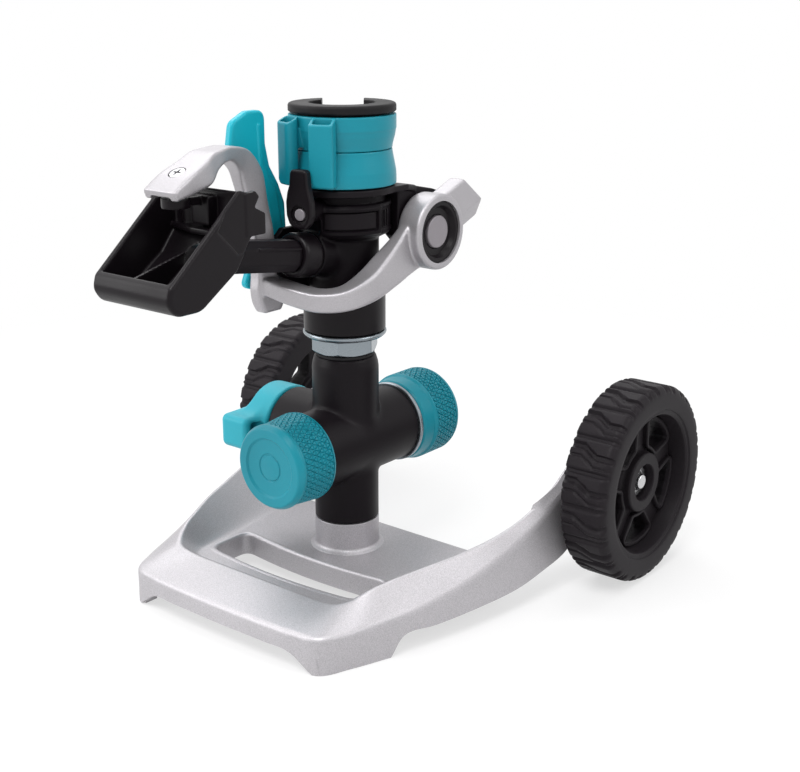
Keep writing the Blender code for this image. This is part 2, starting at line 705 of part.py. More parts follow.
def build_cap(root, materials):
    across = (0, 0, PORT_Z)
    axis = new_empty("cap_axis", (0, 0, PORT_Z), root)
    back = BARREL_FRONT_Y - RUN_GAP
    face = back - CAP_LENGTH
    floor = face + CAP_FLOOR
    recess = CAP_FACE_RADIUS - 5.5 * MM
    button = 6.5 * MM
    profile = [
        (0, face + 1 * MM),
        (button, face + 1 * MM),
        (button + 0.4 * MM, face + 1.5 * MM),
        (recess - 1 * MM, face + 1.5 * MM),
        (recess, face),
        (CAP_FACE_RADIUS - 1 * MM, face),
        (CAP_FACE_RADIUS, face + 1 * MM),
        (CAP_RADIUS, back - 2 * MM),
        (CAP_RADIUS - 1 * MM, back),
        (THREAD_RADIUS + SEAT_GAP, back),
        (THREAD_RADIUS + SEAT_GAP, floor),
        (0, floor),
    ]
    new_object("front_cap", turned(profile, "Y", across, FINE_STEPS), materials["teal_plastic"], axis)
    thread_end = BARREL_FRONT_Y - THREAD_LENGTH
    washer = tube(
        THREAD_RADIUS - SEAT_GAP, WATER_RADIUS, floor + SEAT_GAP, thread_end - SEAT_GAP, "Y", across
    )
    new_object("cap_washer", washer, materials["rubber"], axis)


def build_valve(root, materials):
    across = (0, 0, PORT_Z)
    axis = new_empty("valve_axis", (BRANCH_X, 0, PORT_Z), root)
    lever_inner = BRANCH_X - RUN_GAP
    lever_outer = lever_inner - LEVER_THICKNESS
    plug_outer = BRANCH_X + 2 * MM
    stem_end = lever_outer + 5 * MM
    groove_depth = 2.2 * MM
    groove_start = plug_outer + 4 * MM
    groove_end = groove_start + 3 * MM
    profile = [
        (0, stem_end),
        (STEM_RADIUS, stem_end),
        (STEM_RADIUS, plug_outer),
        (PLUG_RADIUS, plug_outer),
        (PLUG_RADIUS, groove_start),
        (PLUG_RADIUS - groove_depth, groove_start),
        (PLUG_RADIUS - groove_depth, groove_end),
        (PLUG_RADIUS, groove_end),
        (PLUG_RADIUS, PLUG_RADIUS - SEAT_GAP),
        (0, PLUG_RADIUS - SEAT_GAP),
    ]
    plug = new_object("valve_plug", turned(profile, "X", across), materials["brass"], axis)
    cut(plug, rod(WATER_RADIUS, -PLUG_RADIUS - 1 * MM, PLUG_RADIUS + 1 * MM, "Y", across, 16), "water_way")
    cut(plug, rod(WATER_RADIUS - 1 * MM, PORT_Z, PORT_Z + PLUG_RADIUS + 1 * MM, "Z", steps=16), "outlet")
    screw_hole_radius = 2 * MM
    hole = rod(screw_hole_radius, stem_end - 1 * MM, stem_end + 11 * MM, "X", across, SMALL_STEPS)
    cut(plug, hole, "screw_hole")
    seal = tube(
        PLUG_RADIUS + PRESS_GAP / 2,
        PLUG_RADIUS - groove_depth + SEAT_GAP,
        groove_start + SEAT_GAP,
        groove_end - SEAT_GAP,
        "X",
        across,
    )
    new_object("valve_seal", seal, materials["rubber"], axis)

    profile = [
        (0, lever_outer),
        (LEVER_RADIUS - 3 * MM, lever_outer),
        (LEVER_RADIUS, lever_outer + 3 * MM),
        (LEVER_RADIUS, lever_inner),
        (0, lever_inner),
    ]
    lever = turned(profile, "X", across, FINE_STEPS)
    lever = new_object("valve_lever", lever, materials["teal_plastic"], axis)
    block = rounded_outline(rectangle(PADDLE_LENGTH, PADDLE_HEIGHT, (-PADDLE_LENGTH / 2, 0)), 3.5 * MM)
    paddle_outer = lever_outer - 8 * MM
    paddle = prism(block, paddle_outer, paddle_outer + PADDLE_WIDTH, "X", across)
    join(lever, paddle, "paddle")
    cut(lever, rod(STEM_RADIUS + SEAT_GAP, stem_end - SEAT_GAP, 0, "X", across, SMALL_STEPS), "stem_hole")
    screw_seat = stem_end - 2.5 * MM
    counterbore = rod(4.5 * MM, paddle_outer - 1 * MM, screw_seat, "X", across, SMALL_STEPS)
    cut(lever, counterbore, "counterbore")
    cut(lever, rod(screw_hole_radius, screw_seat - 1 * MM, 0, "X", across, SMALL_STEPS), "screw_hole")
    head_radius = 4 * MM
    head = screw_seat - SEAT_GAP
    shank = screw_hole_radius - SEAT_GAP
    profile = [(0, head - 2.4 * MM), (head_radius, head - 2.4 * MM), (head_radius, head)]
    profile += [(shank, head), (shank, stem_end + 10 * MM), (0, stem_end + 10 * MM)]
    new_object("valve_screw", turned(profile, "X", across, SMALL_STEPS), materials["steel"], axis)


# Adapter, bearing and fixed spindle

def drum_low_z():
    return PLATE_LOW_Z + PLATE_THICKNESS + RUN_GAP


def drum_top_z():
    return drum_low_z() + 2 * RING_HEIGHT + 3 * SEAT_GAP


def build_adapter(root, materials):
    gasket = tube(
        RISER_RADIUS - 2 * MM, WATER_RADIUS + 1.4 * MM, RISER_TOP_Z + SEAT_GAP, HEX_LOW_Z - SEAT_GAP
    )
    new_object("adapter_gasket", gasket, materials["rubber"], root)
    hex_radius = HEX_ACROSS_FLATS / 2 / math.cos(math.pi / 6)
    low, top = HEX_LOW_Z, FLANGE_TOP_Z
    spigot = WATER_RADIUS + 1 * MM - PRESS_GAP
    flange_low = low + HEX_HEIGHT
    collar = SLEEVE_TOP_Z - SLEEVE_ROOF
    profile = [
        (0, low - 13 * MM),
        (spigot, low - 13 * MM),
        (spigot, low + 1 * MM),
        (HEX_ACROSS_FLATS / 2 - 1 * MM, flange_low - 1 * MM),
        (ADAPTER_FLANGE_RADIUS - 1.8 * MM, flange_low),
        (ADAPTER_FLANGE_RADIUS, flange_low + 1.5 * MM),
        (ADAPTER_FLANGE_RADIUS, top),
        (0, top),
    ]
    adapter = new_object("hex_adapter", turned(profile), materials["zinc"], root)
    join(adapter, rod(hex_radius, low, flange_low + 0.5 * MM, steps=6), "hexagon")
    cut(adapter, rod(ADAPTER_BORE_RADIUS, low - 14 * MM, top + 1 * MM), "bore")

    wall_inner = SLEEVE_RADIUS - SLEEVE_WALL
    low, top = SLEEVE_LOW_Z, SLEEVE_TOP_Z
    hole = HEAD_TUBE_RADIUS + SEAT_GAP
    profile = [
        (wall_inner, low),
        (SLEEVE_RADIUS, low),
        (SLEEVE_RADIUS, top - 5 * MM),
        (SLEEVE_RADIUS - 1.2 * MM, top - 2 * MM),
        (SLEEVE_RADIUS - 4 * MM, top),
        (hole, top),
        (hole, collar),
        (wall_inner, collar),
    ]
    new_object("bearing_sleeve", turned(profile, steps=FINE_STEPS), materials["black_plastic"], root)
    flange_top = low + 4.5 * MM
    bush = tube(wall_inner - SEAT_GAP, hole, flange_top + RUN_GAP, collar - SEAT_GAP)
    new_object("bearing_bush", bush, materials["nylon"], root)

    spider_low = HEX_LOW_Z + 2 * MM
    spider_top = spider_low + 4 * MM
    arm = ADAPTER_BORE_RADIUS - PRESS_GAP
    spindle = rod(SPINDLE_RADIUS, spider_low, drum_low_z() + 8 * MM, steps=SMALL_STEPS)
    spindle = new_object("fixed_spindle", spindle, materials["steel"], root)
    bar = prism(rectangle(2 * arm * 0.96, 3 * MM), spider_low, spider_top)
    join(spindle, bar, "spider_x")
    bar = prism(rectangle(3 * MM, 2 * arm * 0.96), spider_low - 0.2 * MM, spider_top + 0.2 * MM)
    join(spindle, bar, "spider_y")


# Arc setting drum

def build_drum(root, materials):
    low, top = drum_low_z(), drum_top_z()
    core, wall = DRUM_CORE_RADIUS, DRUM_CORE_WALL
    floor = low + 3 * MM
    profile = [
        (0, low),
        (core, low),
        (core, top),
        (DRUM_RADIUS, top),
        (DRUM_RADIUS, top + CROWN_HEIGHT - 1 * MM),
        (DRUM_RADIUS - 1 * MM, top + CROWN_HEIGHT),
        (CROWN_HOLE_RADIUS, top + CROWN_HEIGHT),
        (CROWN_HOLE_RADIUS, top + CROWN_HEIGHT - 3 * MM),
        (core - wall, top),
        (core - wall, floor),
        (0, floor),
    ]
    drum = new_object("drum_core", turned(profile, steps=FINE_STEPS), materials["black_plastic"], root)
    hub_radius = SPINDLE_RADIUS + 4 * MM
    join(drum, rod(hub_radius, low + 1 * MM, low + 12 * MM, steps=24), "hub")
    spindle_hole = rod(SPINDLE_RADIUS + PRESS_GAP, low - 1 * MM, low + 8.3 * MM, steps=SMALL_STEPS)
    cut(drum, spindle_hole, "spindle_hole")
    notch = prism(
        rectangle(CROWN_NOTCH_WIDTH, DRUM_RADIUS, (0, DRUM_RADIUS)),
        top + SEAT_GAP,
        top + CROWN_HEIGHT + 1 * MM,
    )
    cut(drum, turned_about_z(notch, CROWN_NOTCH_ANGLE - math.pi / 2), "notch")
    use_manifold_solver(drum)

    inner = core + RUN_GAP
    waist = DRUM_WAIST_RADIUS
    outer = DRUM_RADIUS
    bead = RING_HEIGHT * 0.35
    middle = low + RING_HEIGHT + SEAT_GAP
    lower_low = low + SEAT_GAP
    upper_low = middle + SEAT_GAP
    upper_top = upper_low + RING_HEIGHT
    lower = [
        (inner, lower_low),
        (outer, lower_low),
        (outer, lower_low + bead),
        (waist + 0.5 * MM, middle - 3 * MM),
        (waist, middle),
        (inner, middle),
    ]
    upper = [
        (inner, upper_low),
        (waist, upper_low),
        (waist + 0.5 * MM, upper_low + 3 * MM),
        (outer, upper_top - bead),
        (outer, upper_top - SEAT_GAP),
        (inner, upper_top - SEAT_GAP),
    ]
    tab_low = lower_low + 1.5 * MM
    rings = (
        ("lower_arc_ring", lower, LOWER_TAB_ANGLE, lower_low + 2 * MM, middle - 1 * MM),
        ("upper_arc_ring", upper, UPPER_TAB_ANGLE, upper_low + 1 * MM, upper_top - 2 * MM),
    )
    for name, profile, angle, root_low, root_top in rings:
        axis = new_empty(f"{name}_axis", (0, 0, middle), root)
        ring = new_object(name, turned(profile, steps=FINE_STEPS), materials["teal_plastic"], axis)
        start = DRUM_RADIUS + RUN_GAP
        middle_y = -(start + TAB_REACH) / 2
        outline = rounded_outline(rectangle(TAB_WIDTH, TAB_REACH - start, (0, middle_y)), TAB_CORNER)
        tab = prism(outline, tab_low, upper_top - SEAT_GAP)
        join(ring, turned_about_z(tab, angle), "tab")
        root_depth = start - waist + 3 * MM
        stem = rectangle(TAB_WIDTH - 2 * TAB_WALL, root_depth, (0, -start + root_depth / 2 - 1 * MM))
        join(ring, turned_about_z(prism(stem, root_low, root_top), angle), "tab_root")
        hollow = rectangle(TAB_WIDTH - 2 * TAB_WALL, TAB_REACH - start - 2 * TAB_WALL, (0, middle_y))
        hollow = prism(rounded_outline(hollow, 1 * MM, 2), tab_low + 2 * MM, upper_top + 1 * MM)
        cut(ring, turned_about_z(hollow, angle), "tab_hollow")
        cut(ring, rod(inner, lower_low - 1 * MM, upper_top + 1 * MM, steps=FINE_STEPS), "running_bore")


# Turning head

def jet_matrix():
    """Local Z along the jet, from the point where the jet's line meets the riser's axis."""
    turn = Matrix.Rotation(math.pi / 2 - JET_RISE, 4, "X")
    return Matrix.Translation((0, 0, JET_ORIGIN_Z)) @ turn


def along_jet(bm):
    bmesh.ops.transform(bm, matrix=jet_matrix(), verts=bm.verts)
    return bm


def trip_plane_radius():
    """Distance from the riser's axis to the inner side of the trip lever, clear of the drum's tabs."""
    return TAB_REACH / math.cos(math.atan2(TAB_WIDTH / 2, TAB_REACH)) + RUN_GAP


def build_head(root, materials):
    axis = new_empty("head_axis", (0, 0, SLEEVE_TOP_Z), root)
    tube_outer = HEAD_TUBE_RADIUS
    tube_inner = HEAD_TUBE_RADIUS - HEAD_TUBE_WALL
    low = SLEEVE_LOW_Z + SEAT_GAP
    shoulder = low + 4 * MM
    tube_top = SLEEVE_TOP_Z + 12 * MM
    flange = SLEEVE_RADIUS - SLEEVE_WALL - RUN_GAP
    profile = [
        (tube_inner, low),
        (flange, low),
        (flange, shoulder),
        (tube_outer, shoulder),
        (tube_outer, tube_top),
        (tube_inner, tube_top),
    ]
    new_object("head_tube", turned(profile), materials["brass"], axis)

    neck_low = HEAD_LOW_Z
    body_top = PLATE_LOW_Z - SEAT_GAP
    profile = [
        (0, neck_low),
        (NECK_RADIUS - 2 * MM, neck_low),
        (NECK_RADIUS, neck_low + 2 * MM),
        (NECK_RADIUS, BAND_LOW_Z - 3 * MM),
        (BAND_RADIUS - 1.5 * MM, BAND_LOW_Z),
        (BAND_RADIUS, BAND_LOW_Z + 1.5 * MM),
        (BAND_RADIUS, BAND_TOP_Z - 1 * MM),
        (BAND_RADIUS - 1 * MM, BAND_TOP_Z),
        (BAND_RADIUS - 3 * MM, BAND_TOP_Z),
        (BAND_RADIUS - 3 * MM, body_top),
        (0, body_top),
    ]
    body = new_object("head_body", turned(profile, steps=FINE_STEPS), materials["black_plastic"], axis)
    join(body, along_jet(rod(JET_PORT_RADIUS, 0, JET_PORT_REACH)), "jet_port")
    boss_end = trip_plane_radius() - SEAT_GAP
    boss = rod(TRIP_BOSS_RADIUS, -boss_end, -BAND_RADIUS + 6 * MM, "Y", (0, 0, TRIP_Z), 24)
    join(body, turned_about_z(boss, TRIP_ANGLE), "trip_boss")
    ear = rounded_outline(
        [
            (FLAP_PIVOT_Y - 5 * MM, FLAP_PIVOT_Z - 5 * MM),
            (-4 * MM, FLAP_PIVOT_Z - 7 * MM),
            (-4 * MM, FLAP_PIVOT_Z + 5 * MM),
            (FLAP_PIVOT_Y - 5 * MM, FLAP_PIVOT_Z + 5 * MM),
        ],
        3 * MM,
    )
    ear_outer = FLAP_OUTER_X + FLAP_THICKNESS + SEAT_GAP
    join(body, prism(ear, ear_outer, ear_outer + 3 * MM, "X"), "flap_ear")
    cut(body, rod(HEAD_TUBE_RADIUS + PRESS_GAP, neck_low - 1 * MM, tube_top + SEAT_GAP), "tube_socket")
    cut(body, rod(tube_inner, tube_top, JET_ORIGIN_Z + 8 * MM), "water_room")
    cut(body, along_jet(rod(JET_BORE_RADIUS, 2 * MM, JET_PORT_REACH + 1 * MM, steps=24)), "jet_bore")
    spindle_hole = rod(SPINDLE_RADIUS + SEAT_GAP, JET_ORIGIN_Z, body_top + 1 * MM, steps=SMALL_STEPS)
    cut(body, spindle_hole, "spindle_hole")
    pocket = arc_block(
        BAND_RADIUS - PANEL_THICKNESS - SEAT_GAP,
        BAND_RADIUS + 2 * MM,
        BAND_LOW_Z + 3 * MM - SEAT_GAP,
        BAND_TOP_Z - 3 * MM + SEAT_GAP,
        PANEL_ANGLE,
        PANEL_HALF_ANGLE + math.radians(1),
    )
    cut(body, pocket, "panel_pocket")
    ends = (-boss_end - 1 * MM, -13 * MM)
    pin_hole = rod(TRIP_PIN_RADIUS + PRESS_GAP, *ends, "Y", (0, 0, TRIP_Z), SMALL_STEPS)
    cut(body, turned_about_z(pin_hole, TRIP_ANGLE), "trip_pin_hole")
    pin_centre = (0, FLAP_PIVOT_Y, FLAP_PIVOT_Z)
    pin_hole = rod(FLAP_PIN_RADIUS + PRESS_GAP, ear_outer - 1 * MM, ear_outer + 4 * MM, "X", pin_centre, 12)
    cut(body, pin_hole, "flap_pin_hole")
    use_manifold_solver(body)

    panel = arc_block(
        BAND_RADIUS - PANEL_THICKNESS,
        BAND_RADIUS - 0.4 * MM,
        BAND_LOW_Z + 3 * MM,
        BAND_TOP_Z - 3 * MM,
        PANEL_ANGLE,
        PANEL_HALF_ANGLE,
    )
    new_object("side_panel", panel, materials["black_plastic"], axis)
    build_bracket(axis, materials)
    build_nozzle(axis, materials)
    build_trip_lever(axis, materials)
    build_flap(axis, materials)
    return axis


def web_inner_x():
    return ARM_HUB_OUTER_X - ARM_HUB_WIDTH - RUN_GAP - WEB_THICKNESS


def build_bracket(axis, materials):
    """The plate under the drum, with the web that hangs from it beside the arm's hub."""
    plate_top = PLATE_LOW_Z + PLATE_THICKNESS
    plate = rod(PLATE_RADIUS, PLATE_LOW_Z, plate_top, steps=FINE_STEPS)
    bracket = new_object("pivot_bracket", plate, materials["black_plastic"], axis)
    near, far = web_inner_x(), web_inner_x() + WEB_THICKNESS
    tongue = [(near, 8 * MM), (far + 3 * MM, 0), (far + 3 * MM, 21 * MM), (near, 25 * MM)]
    tongue = prism(rounded_outline(tongue, 3 * MM), PLATE_LOW_Z + 0.2 * MM, plate_top - 0.2 * MM)
    join(bracket, tongue, "tongue")
    front = math.sqrt((BAND_RADIUS + 1 * MM) ** 2 - near**2)
    web = [
        (front, PLATE_LOW_Z + 1 * MM),
        (front, ARM_PIVOT_Z - 1 * MM),
        (ARM_PIVOT_Y - 7 * MM, ARM_PIVOT_Z - 10 * MM),
        (ARM_PIVOT_Y + 6 * MM, ARM_PIVOT_Z - 10 * MM),
        (ARM_PIVOT_Y + 19 * MM, ARM_PIVOT_Z + 5 * MM),
        (ARM_PIVOT_Y + 17 * MM, ARM_PIVOT_Z + 11 * MM),
        (24 * MM, plate_top - 2 * MM),
    ]
    join(bracket, prism(rounded_outline(web, 2 * MM, 2), near, far, "X"), "web")
    pivot = (0, ARM_PIVOT_Y, ARM_PIVOT_Z)
    pin_hole = rod(ARM_PIN_RADIUS - 1 * MM + PRESS_GAP, near - 1 * MM, far + 1 * MM, "X", pivot, 24)
    cut(bracket, pin_hole, "pin_hole")
    spindle_hole = rod(SPINDLE_RADIUS + RUN_GAP, PLATE_LOW_Z - 1 * MM, plate_top + 1 * MM, steps=SMALL_STEPS)
    cut(bracket, spindle_hole, "spindle_hole")

    head_outer = ARM_HUB_OUTER_X - 2 * MM
    head_inner = head_outer - ARM_PIN_HEAD
    profile = [
        (0, near + 0.5 * MM),
        (ARM_PIN_RADIUS - 1 * MM, near + 0.5 * MM),
        (ARM_PIN_RADIUS - 1 * MM, far + SEAT_GAP),
        (ARM_PIN_RADIUS, far + SEAT_GAP),
        (ARM_PIN_RADIUS, head_inner),
        (ARM_PIN_HEAD_RADIUS, head_inner),
        (ARM_PIN_HEAD_RADIUS, head_outer - 0.6 * MM),
        (ARM_PIN_HEAD_RADIUS - 0.6 * MM, head_outer),
        (0, head_outer),
    ]
    new_object("arm_pivot_pin", turned(profile, "X", pivot), materials["steel"], axis)


def build_nozzle(axis, materials):
    start = JET_PORT_REACH + SEAT_GAP
    nut_low = JET_PORT_REACH - 4.5 * MM
    nut_top = nut_low + NOZZLE_NUT_LENGTH + 3 * MM
    collar = NOZZLE_NUT_RADIUS - 3 * MM
    profile = [
        (JET_BORE_RADIUS, start),
        (JET_PORT_RADIUS, start),
        (JET_PORT_RADIUS, start + 1.6 * MM),
        (collar, start + 1.6 * MM),
        (collar, nut_top + 4 * MM),
        (JET_BORE_RADIUS, nut_top + 4 * MM),
    ]
    nozzle = new_object("nozzle", along_jet(turned(profile)), materials["black_plastic"], axis)
    tip = NOZZLE_TIP_REACH
    width, height = NOZZLE_HALF_WIDTH, NOZZLE_HALF_HEIGHT
    outline = [
        (-width, -height * 0.5),
        (-width * 0.6, -height),
        (width * 0.6, -height),
        (width, -height * 0.5),
        (width, height * 0.45),
        (width * 0.55, height),
        (-width * 0.55, height),
        (-width, height * 0.45),
    ]
    barrel_start = nut_top + SEAT_GAP
    join(nozzle, along_jet(prism(outline, barrel_start, tip)), "barrel")
    bore = [(0, start - 1 * MM), (JET_BORE_RADIUS, start - 1 * MM), (JET_BORE_RADIUS, tip - 14 * MM)]
    narrow = JET_BORE_RADIUS * 0.65
    bore += [(narrow, tip - 4 * MM), (narrow, tip + 1 * MM), (0, tip + 1 * MM)]
    cut(nozzle, along_jet(turned(bore)), "bore")
    use_manifold_solver(nozzle)

    profile = [
        (JET_PORT_RADIUS + SEAT_GAP, nut_low),
        (NOZZLE_NUT_RADIUS - 1 * MM, nut_low),
        (NOZZLE_NUT_RADIUS, nut_low + 1 * MM),
        (NOZZLE_NUT_RADIUS, nut_top - 1 * MM),
        (NOZZLE_NUT_RADIUS - 1 * MM, nut_top),
        (collar + SEAT_GAP, nut_top),
        (collar + SEAT_GAP, start + 1.6 * MM + SEAT_GAP),
        (JET_PORT_RADIUS + SEAT_GAP, start + 1.6 * MM + SEAT_GAP),
    ]
    new_object("nozzle_nut", along_jet(turned(profile)), materials["black_plastic"], axis)


def build_trip_lever(head_axis, materials):
    inner = trip_plane_radius()
    outer = inner + TRIP_LEVER_THICKNESS
    point = Matrix.Rotation(TRIP_ANGLE, 3, "Z") @ Vector((0, -inner, TRIP_Z))
    pivot = new_empty("trip_axis", tuple(point), head_axis)
    top, foot = TRIP_FINGER_TOP_Z - TRIP_Z, TRIP_FOOT_LOW_Z - TRIP_Z
    side = [
        (foot, -3.5 * MM),
        (foot * 0.3, -6.5 * MM),
        (5 * MM, -6.8 * MM),
        (top - 8 * MM, -4 * MM),
        (top, -2.5 * MM),
        (top, 2.5 * MM),
        (top - 7 * MM, 4.5 * MM),
        (5 * MM, 6.2 * MM),
        (foot * 0.3, 6.2 * MM),
        (foot, 3.5 * MM),
    ]
    lever = prism(rounded_outline(side, 2 * MM, 2), -outer, -inner, "Y", (0, 0, TRIP_Z))
    lever = new_object("trip_lever", turned_about_z(lever, TRIP_ANGLE), materials["black_plastic"], pivot)
    hole = rod(TRIP_PIN_RADIUS + RUN_GAP, -outer - 1 * MM, -inner + 1 * MM, "Y", (0, 0, TRIP_Z), 24)
    cut(lever, turned_about_z(hole, TRIP_ANGLE), "pin_hole")

    pin_root = 14 * MM
    pin_end = outer - 0.8 * MM
    pin = rod(TRIP_PIN_RADIUS, -pin_end, -pin_root, "Y", (0, 0, TRIP_Z), SMALL_STEPS)
    new_object("trip_pin", turned_about_z(pin, TRIP_ANGLE), materials["steel"], head_axis)


def build_flap(head_axis, materials):
    """The tall blade beside the arm, on a pin through the head's ear."""
    centre = (0, FLAP_PIVOT_Y, FLAP_PIVOT_Z)
    pivot = new_empty("flap_axis", (FLAP_OUTER_X, FLAP_PIVOT_Y, FLAP_PIVOT_Z), head_axis)
    outline = [
        (-20, -13),
        (-14, -15.5),
        (-11, -8),
        (4, -6),
        (7, 0),
        (7.5, 10),
        (3.5, 28),
        (-3.5, 40.5),
        (-4.5, 52),
        (-5, 66),
        (-21, 66.5),
        (-25, 61),
        (-25, 56.5),
        (-21.5, 52.5),
        (-23, 42),
        (-15, 28),
        (-11, 8),
        (-16, -4),
    ]
    blade = rounded_outline([(y * MM, z * MM) for y, z in outline], 3 * MM, 2)
    blade = prism(blade, FLAP_OUTER_X, FLAP_OUTER_X + FLAP_THICKNESS, "X", centre)
    flap = new_object("diffuser_flap", blade, materials["teal_plastic"], pivot)
    ends = (FLAP_OUTER_X - 1 * MM, FLAP_OUTER_X + FLAP_THICKNESS + 1 * MM)
    cut(flap, rod(FLAP_PIN_RADIUS + RUN_GAP, *ends, "X", centre, SMALL_STEPS), "pin_hole")
    ear_outer = FLAP_OUTER_X + FLAP_THICKNESS + SEAT_GAP
    head_inner = FLAP_OUTER_X - SEAT_GAP
    profile = [
        (0, head_inner - 1.5 * MM),
        (FLAP_PIN_RADIUS * 1.7, head_inner - 1.5 * MM),
        (FLAP_PIN_RADIUS * 1.7, head_inner),
        (FLAP_PIN_RADIUS, head_inner),
        (FLAP_PIN_RADIUS, ear_outer + 2.8 * MM),
        (0, ear_outer + 2.8 * MM),
    ]
    new_object("flap_pin", turned(profile, "X", centre, 12), materials["steel"], head_axis)


# Swing arm

def arm_band():
    """From the hub forward along the right side, low round the front and across to the leg."""
    seat = HEAD_LOW_Z / MM
    rows = [
        ((25.4, 24, seat + 22.5), (2.9, 0, 0), (0, -6, 11.5)),
        ((25.6, 12, seat + 16.8), (3.9, 0, 0), (0, -4, 9.2)),
        ((26.2, 0, seat + 11.8), (4.9, 0.4, 0), (0, -3, 7.6)),
        ((25.6, -14, seat + 5.9), (6, -1.4, 0), (0, -1.2, 6.2)),
        ((21, -24.5, seat + 1.9), (5.6, -4.2, 0), (0, -0.6, 5)),
        ((12.5, -32, seat + 1.1), (3.8, -6, 0), (0, 0, 4.6)),
        ((3, -37.5, seat + 3.5), (2.2, -6.4, 0), (0.8, 0, 4.2)),
        ((-5, -41, seat + 6.1), (1.4, -6.2, 0), (0.8, 0, 4)),
        ((LEG_X / MM, LEG_Y / MM - 1, seat + 7.7), (0.8, -6, 0), (0.8, 0, 3.8)),
    ]
    return [[Vector(part) * MM for part in row] for row in rows]


def arm_leg():
    """From the lug under the band up beside the nozzle, over in an arch and forward to the scoop's pad."""
    x, y, low = LEG_X / MM, LEG_Y / MM, LEG_LOW_Z / MM
    half, pad, pad_half = LEG_HALF_THICKNESS / MM, PAD_Z / MM, PAD_HALF_HEIGHT / MM
    screw_y = SCREW_Y / MM
    rows = [
        ((x, y + 1, low), (half, 0, 0), (0, -5.5, 0)),
        ((x, y + 0.8, low + 4.5), (half, 0, 0), (0, -8, 0)),
        ((x, y - 0.8, low + 11), (half, 0, 0), (0, -7.6, 0)),
        ((x, y - 1.8, low + 18), (half, 0, 0), (0, -6, 0)),
        ((x, y - 3.2, low + 36), (half, 0, 0), (0, -6.2, -0.4)),
        ((x, y - 8, low + 53), (half, 0, 0), (0, -6.7, -0.8)),
        ((x + 0.5, y - 11.5, low + 65), (half + 0.3, 0, 0), (0, -6.5, -2.6)),
        ((x + 1.6, y - 18, low + 72.8), (half + 1.2, 0, 0), (0, -4, -5)),
        ((x + 4.4, y - 29.5, low + 76.2), (half + 2.6, 0, 0), (0, 0, -4.6)),
        ((x + 7.5, y - 40.5, low + 75.5), (half + 4, 0, 0), (0, 2, -5.2)),
        ((-1, y - 50.5, low + 72), (half + 5.6, 0, 0), (0, 2.2, -4.8)),
        ((0, screw_y - 1, pad), (10, 0, 0), (0, 1.4, -pad_half)),
        ((0, screw_y - 9.6, pad - 4.1), (9.6, 0, 0), (0, 0.6, -1.8)),
    ]
    return [[Vector(part) * MM for part in row] for row in rows]


def arm_tail():
    """Side of the counterweight behind the hub, as (y, z)."""
    y, z = ARM_PIVOT_Y / MM, ARM_PIVOT_Z / MM
    corners = [
        (y + 4, z + 14),
        (y + 8, z + 17.8),
        (y + 22, z + 23.3),
        (y + 37.5, z + 11.6),
        (y + 39.5, z + 2.5),
        (y + 27, z - 1.5),
        (y + 12, z - 6),
    ]
    return rounded_outline([(a * MM, b * MM) for a, b in corners], 2 * MM, 2)


def pad_low_z():
    """Underside of the scoop pad at the screw."""
    return PAD_Z - PAD_HALF_HEIGHT


def build_arm(head_axis, materials):
    centre = (0, ARM_PIVOT_Y, ARM_PIVOT_Z)
    pivot = new_empty("arm_axis", (ARM_HUB_OUTER_X, ARM_PIVOT_Y, ARM_PIVOT_Z), head_axis)
    outer = ARM_HUB_OUTER_X
    inner = outer - ARM_HUB_WIDTH
    radius = ARM_HUB_RADIUS
    hub = [
        (0, inner),
        (radius - 1 * MM, inner),
        (radius, inner + 1 * MM),
        (radius, outer - 2 * MM),
        (radius - 1 * MM, outer),
        (0, outer),
    ]
    arm = new_object("swing_arm", turned(hub, "X", centre, FINE_STEPS), materials["silver_paint"], pivot)
    join(arm, swept(arm_band()), "band")
    join(arm, swept(arm_leg()), "leg")
    join(arm, prism(arm_tail(), inner + 1.5 * MM, outer - 2.5 * MM, "X"), "tail")
    ends = (inner - 1 * MM, outer + 1 * MM)
    cut(arm, rod(BUSHING_RADIUS + PRESS_GAP, *ends, "X", centre), "bushing_bore")
    shank_hole = rod(SCREW_SHANK_RADIUS + SEAT_GAP, LEG_LOW_Z, LEG_LOW_Z + 80 * MM, "Z", (0, SCREW_Y, 0), 12)
    cut(arm, shank_hole, "screw_hole")
    seat = screw_seat_z()
    screw_line = (0, SCREW_Y, 0)
    recess = rod(SCREW_HEAD_RADIUS + SEAT_GAP, seat - SEAT_GAP, seat + 20 * MM, "Z", screw_line, SMALL_STEPS)
    cut(arm, recess, "screw_recess")

    head_room = ARM_PIN_HEAD + 2 * MM + RUN_GAP
    profile = [
        (ARM_PIN_RADIUS + SEAT_GAP, inner),
        (BUSHING_RADIUS, inner),
        (BUSHING_RADIUS, outer - 1.2 * MM),
        (BUSHING_RADIUS - 2 * MM, outer - 1.2 * MM),
        (BUSHING_RADIUS - 3.5 * MM, outer - 3 * MM),
        (ARM_PIN_HEAD_RADIUS + RUN_GAP, outer - 3 * MM),
        (ARM_PIN_HEAD_RADIUS + RUN_GAP, outer - head_room),
        (ARM_PIN_RADIUS + SEAT_GAP, outer - head_room),
    ]
    new_object("arm_bushing", turned(profile, "X", centre), materials["black_plastic"], pivot)
    build_scoop(pivot, materials)


def screw_seat_z():
    """Underside of the scoop screw's head, sunk in the pad."""
    return PAD_Z + 1.4 * MM


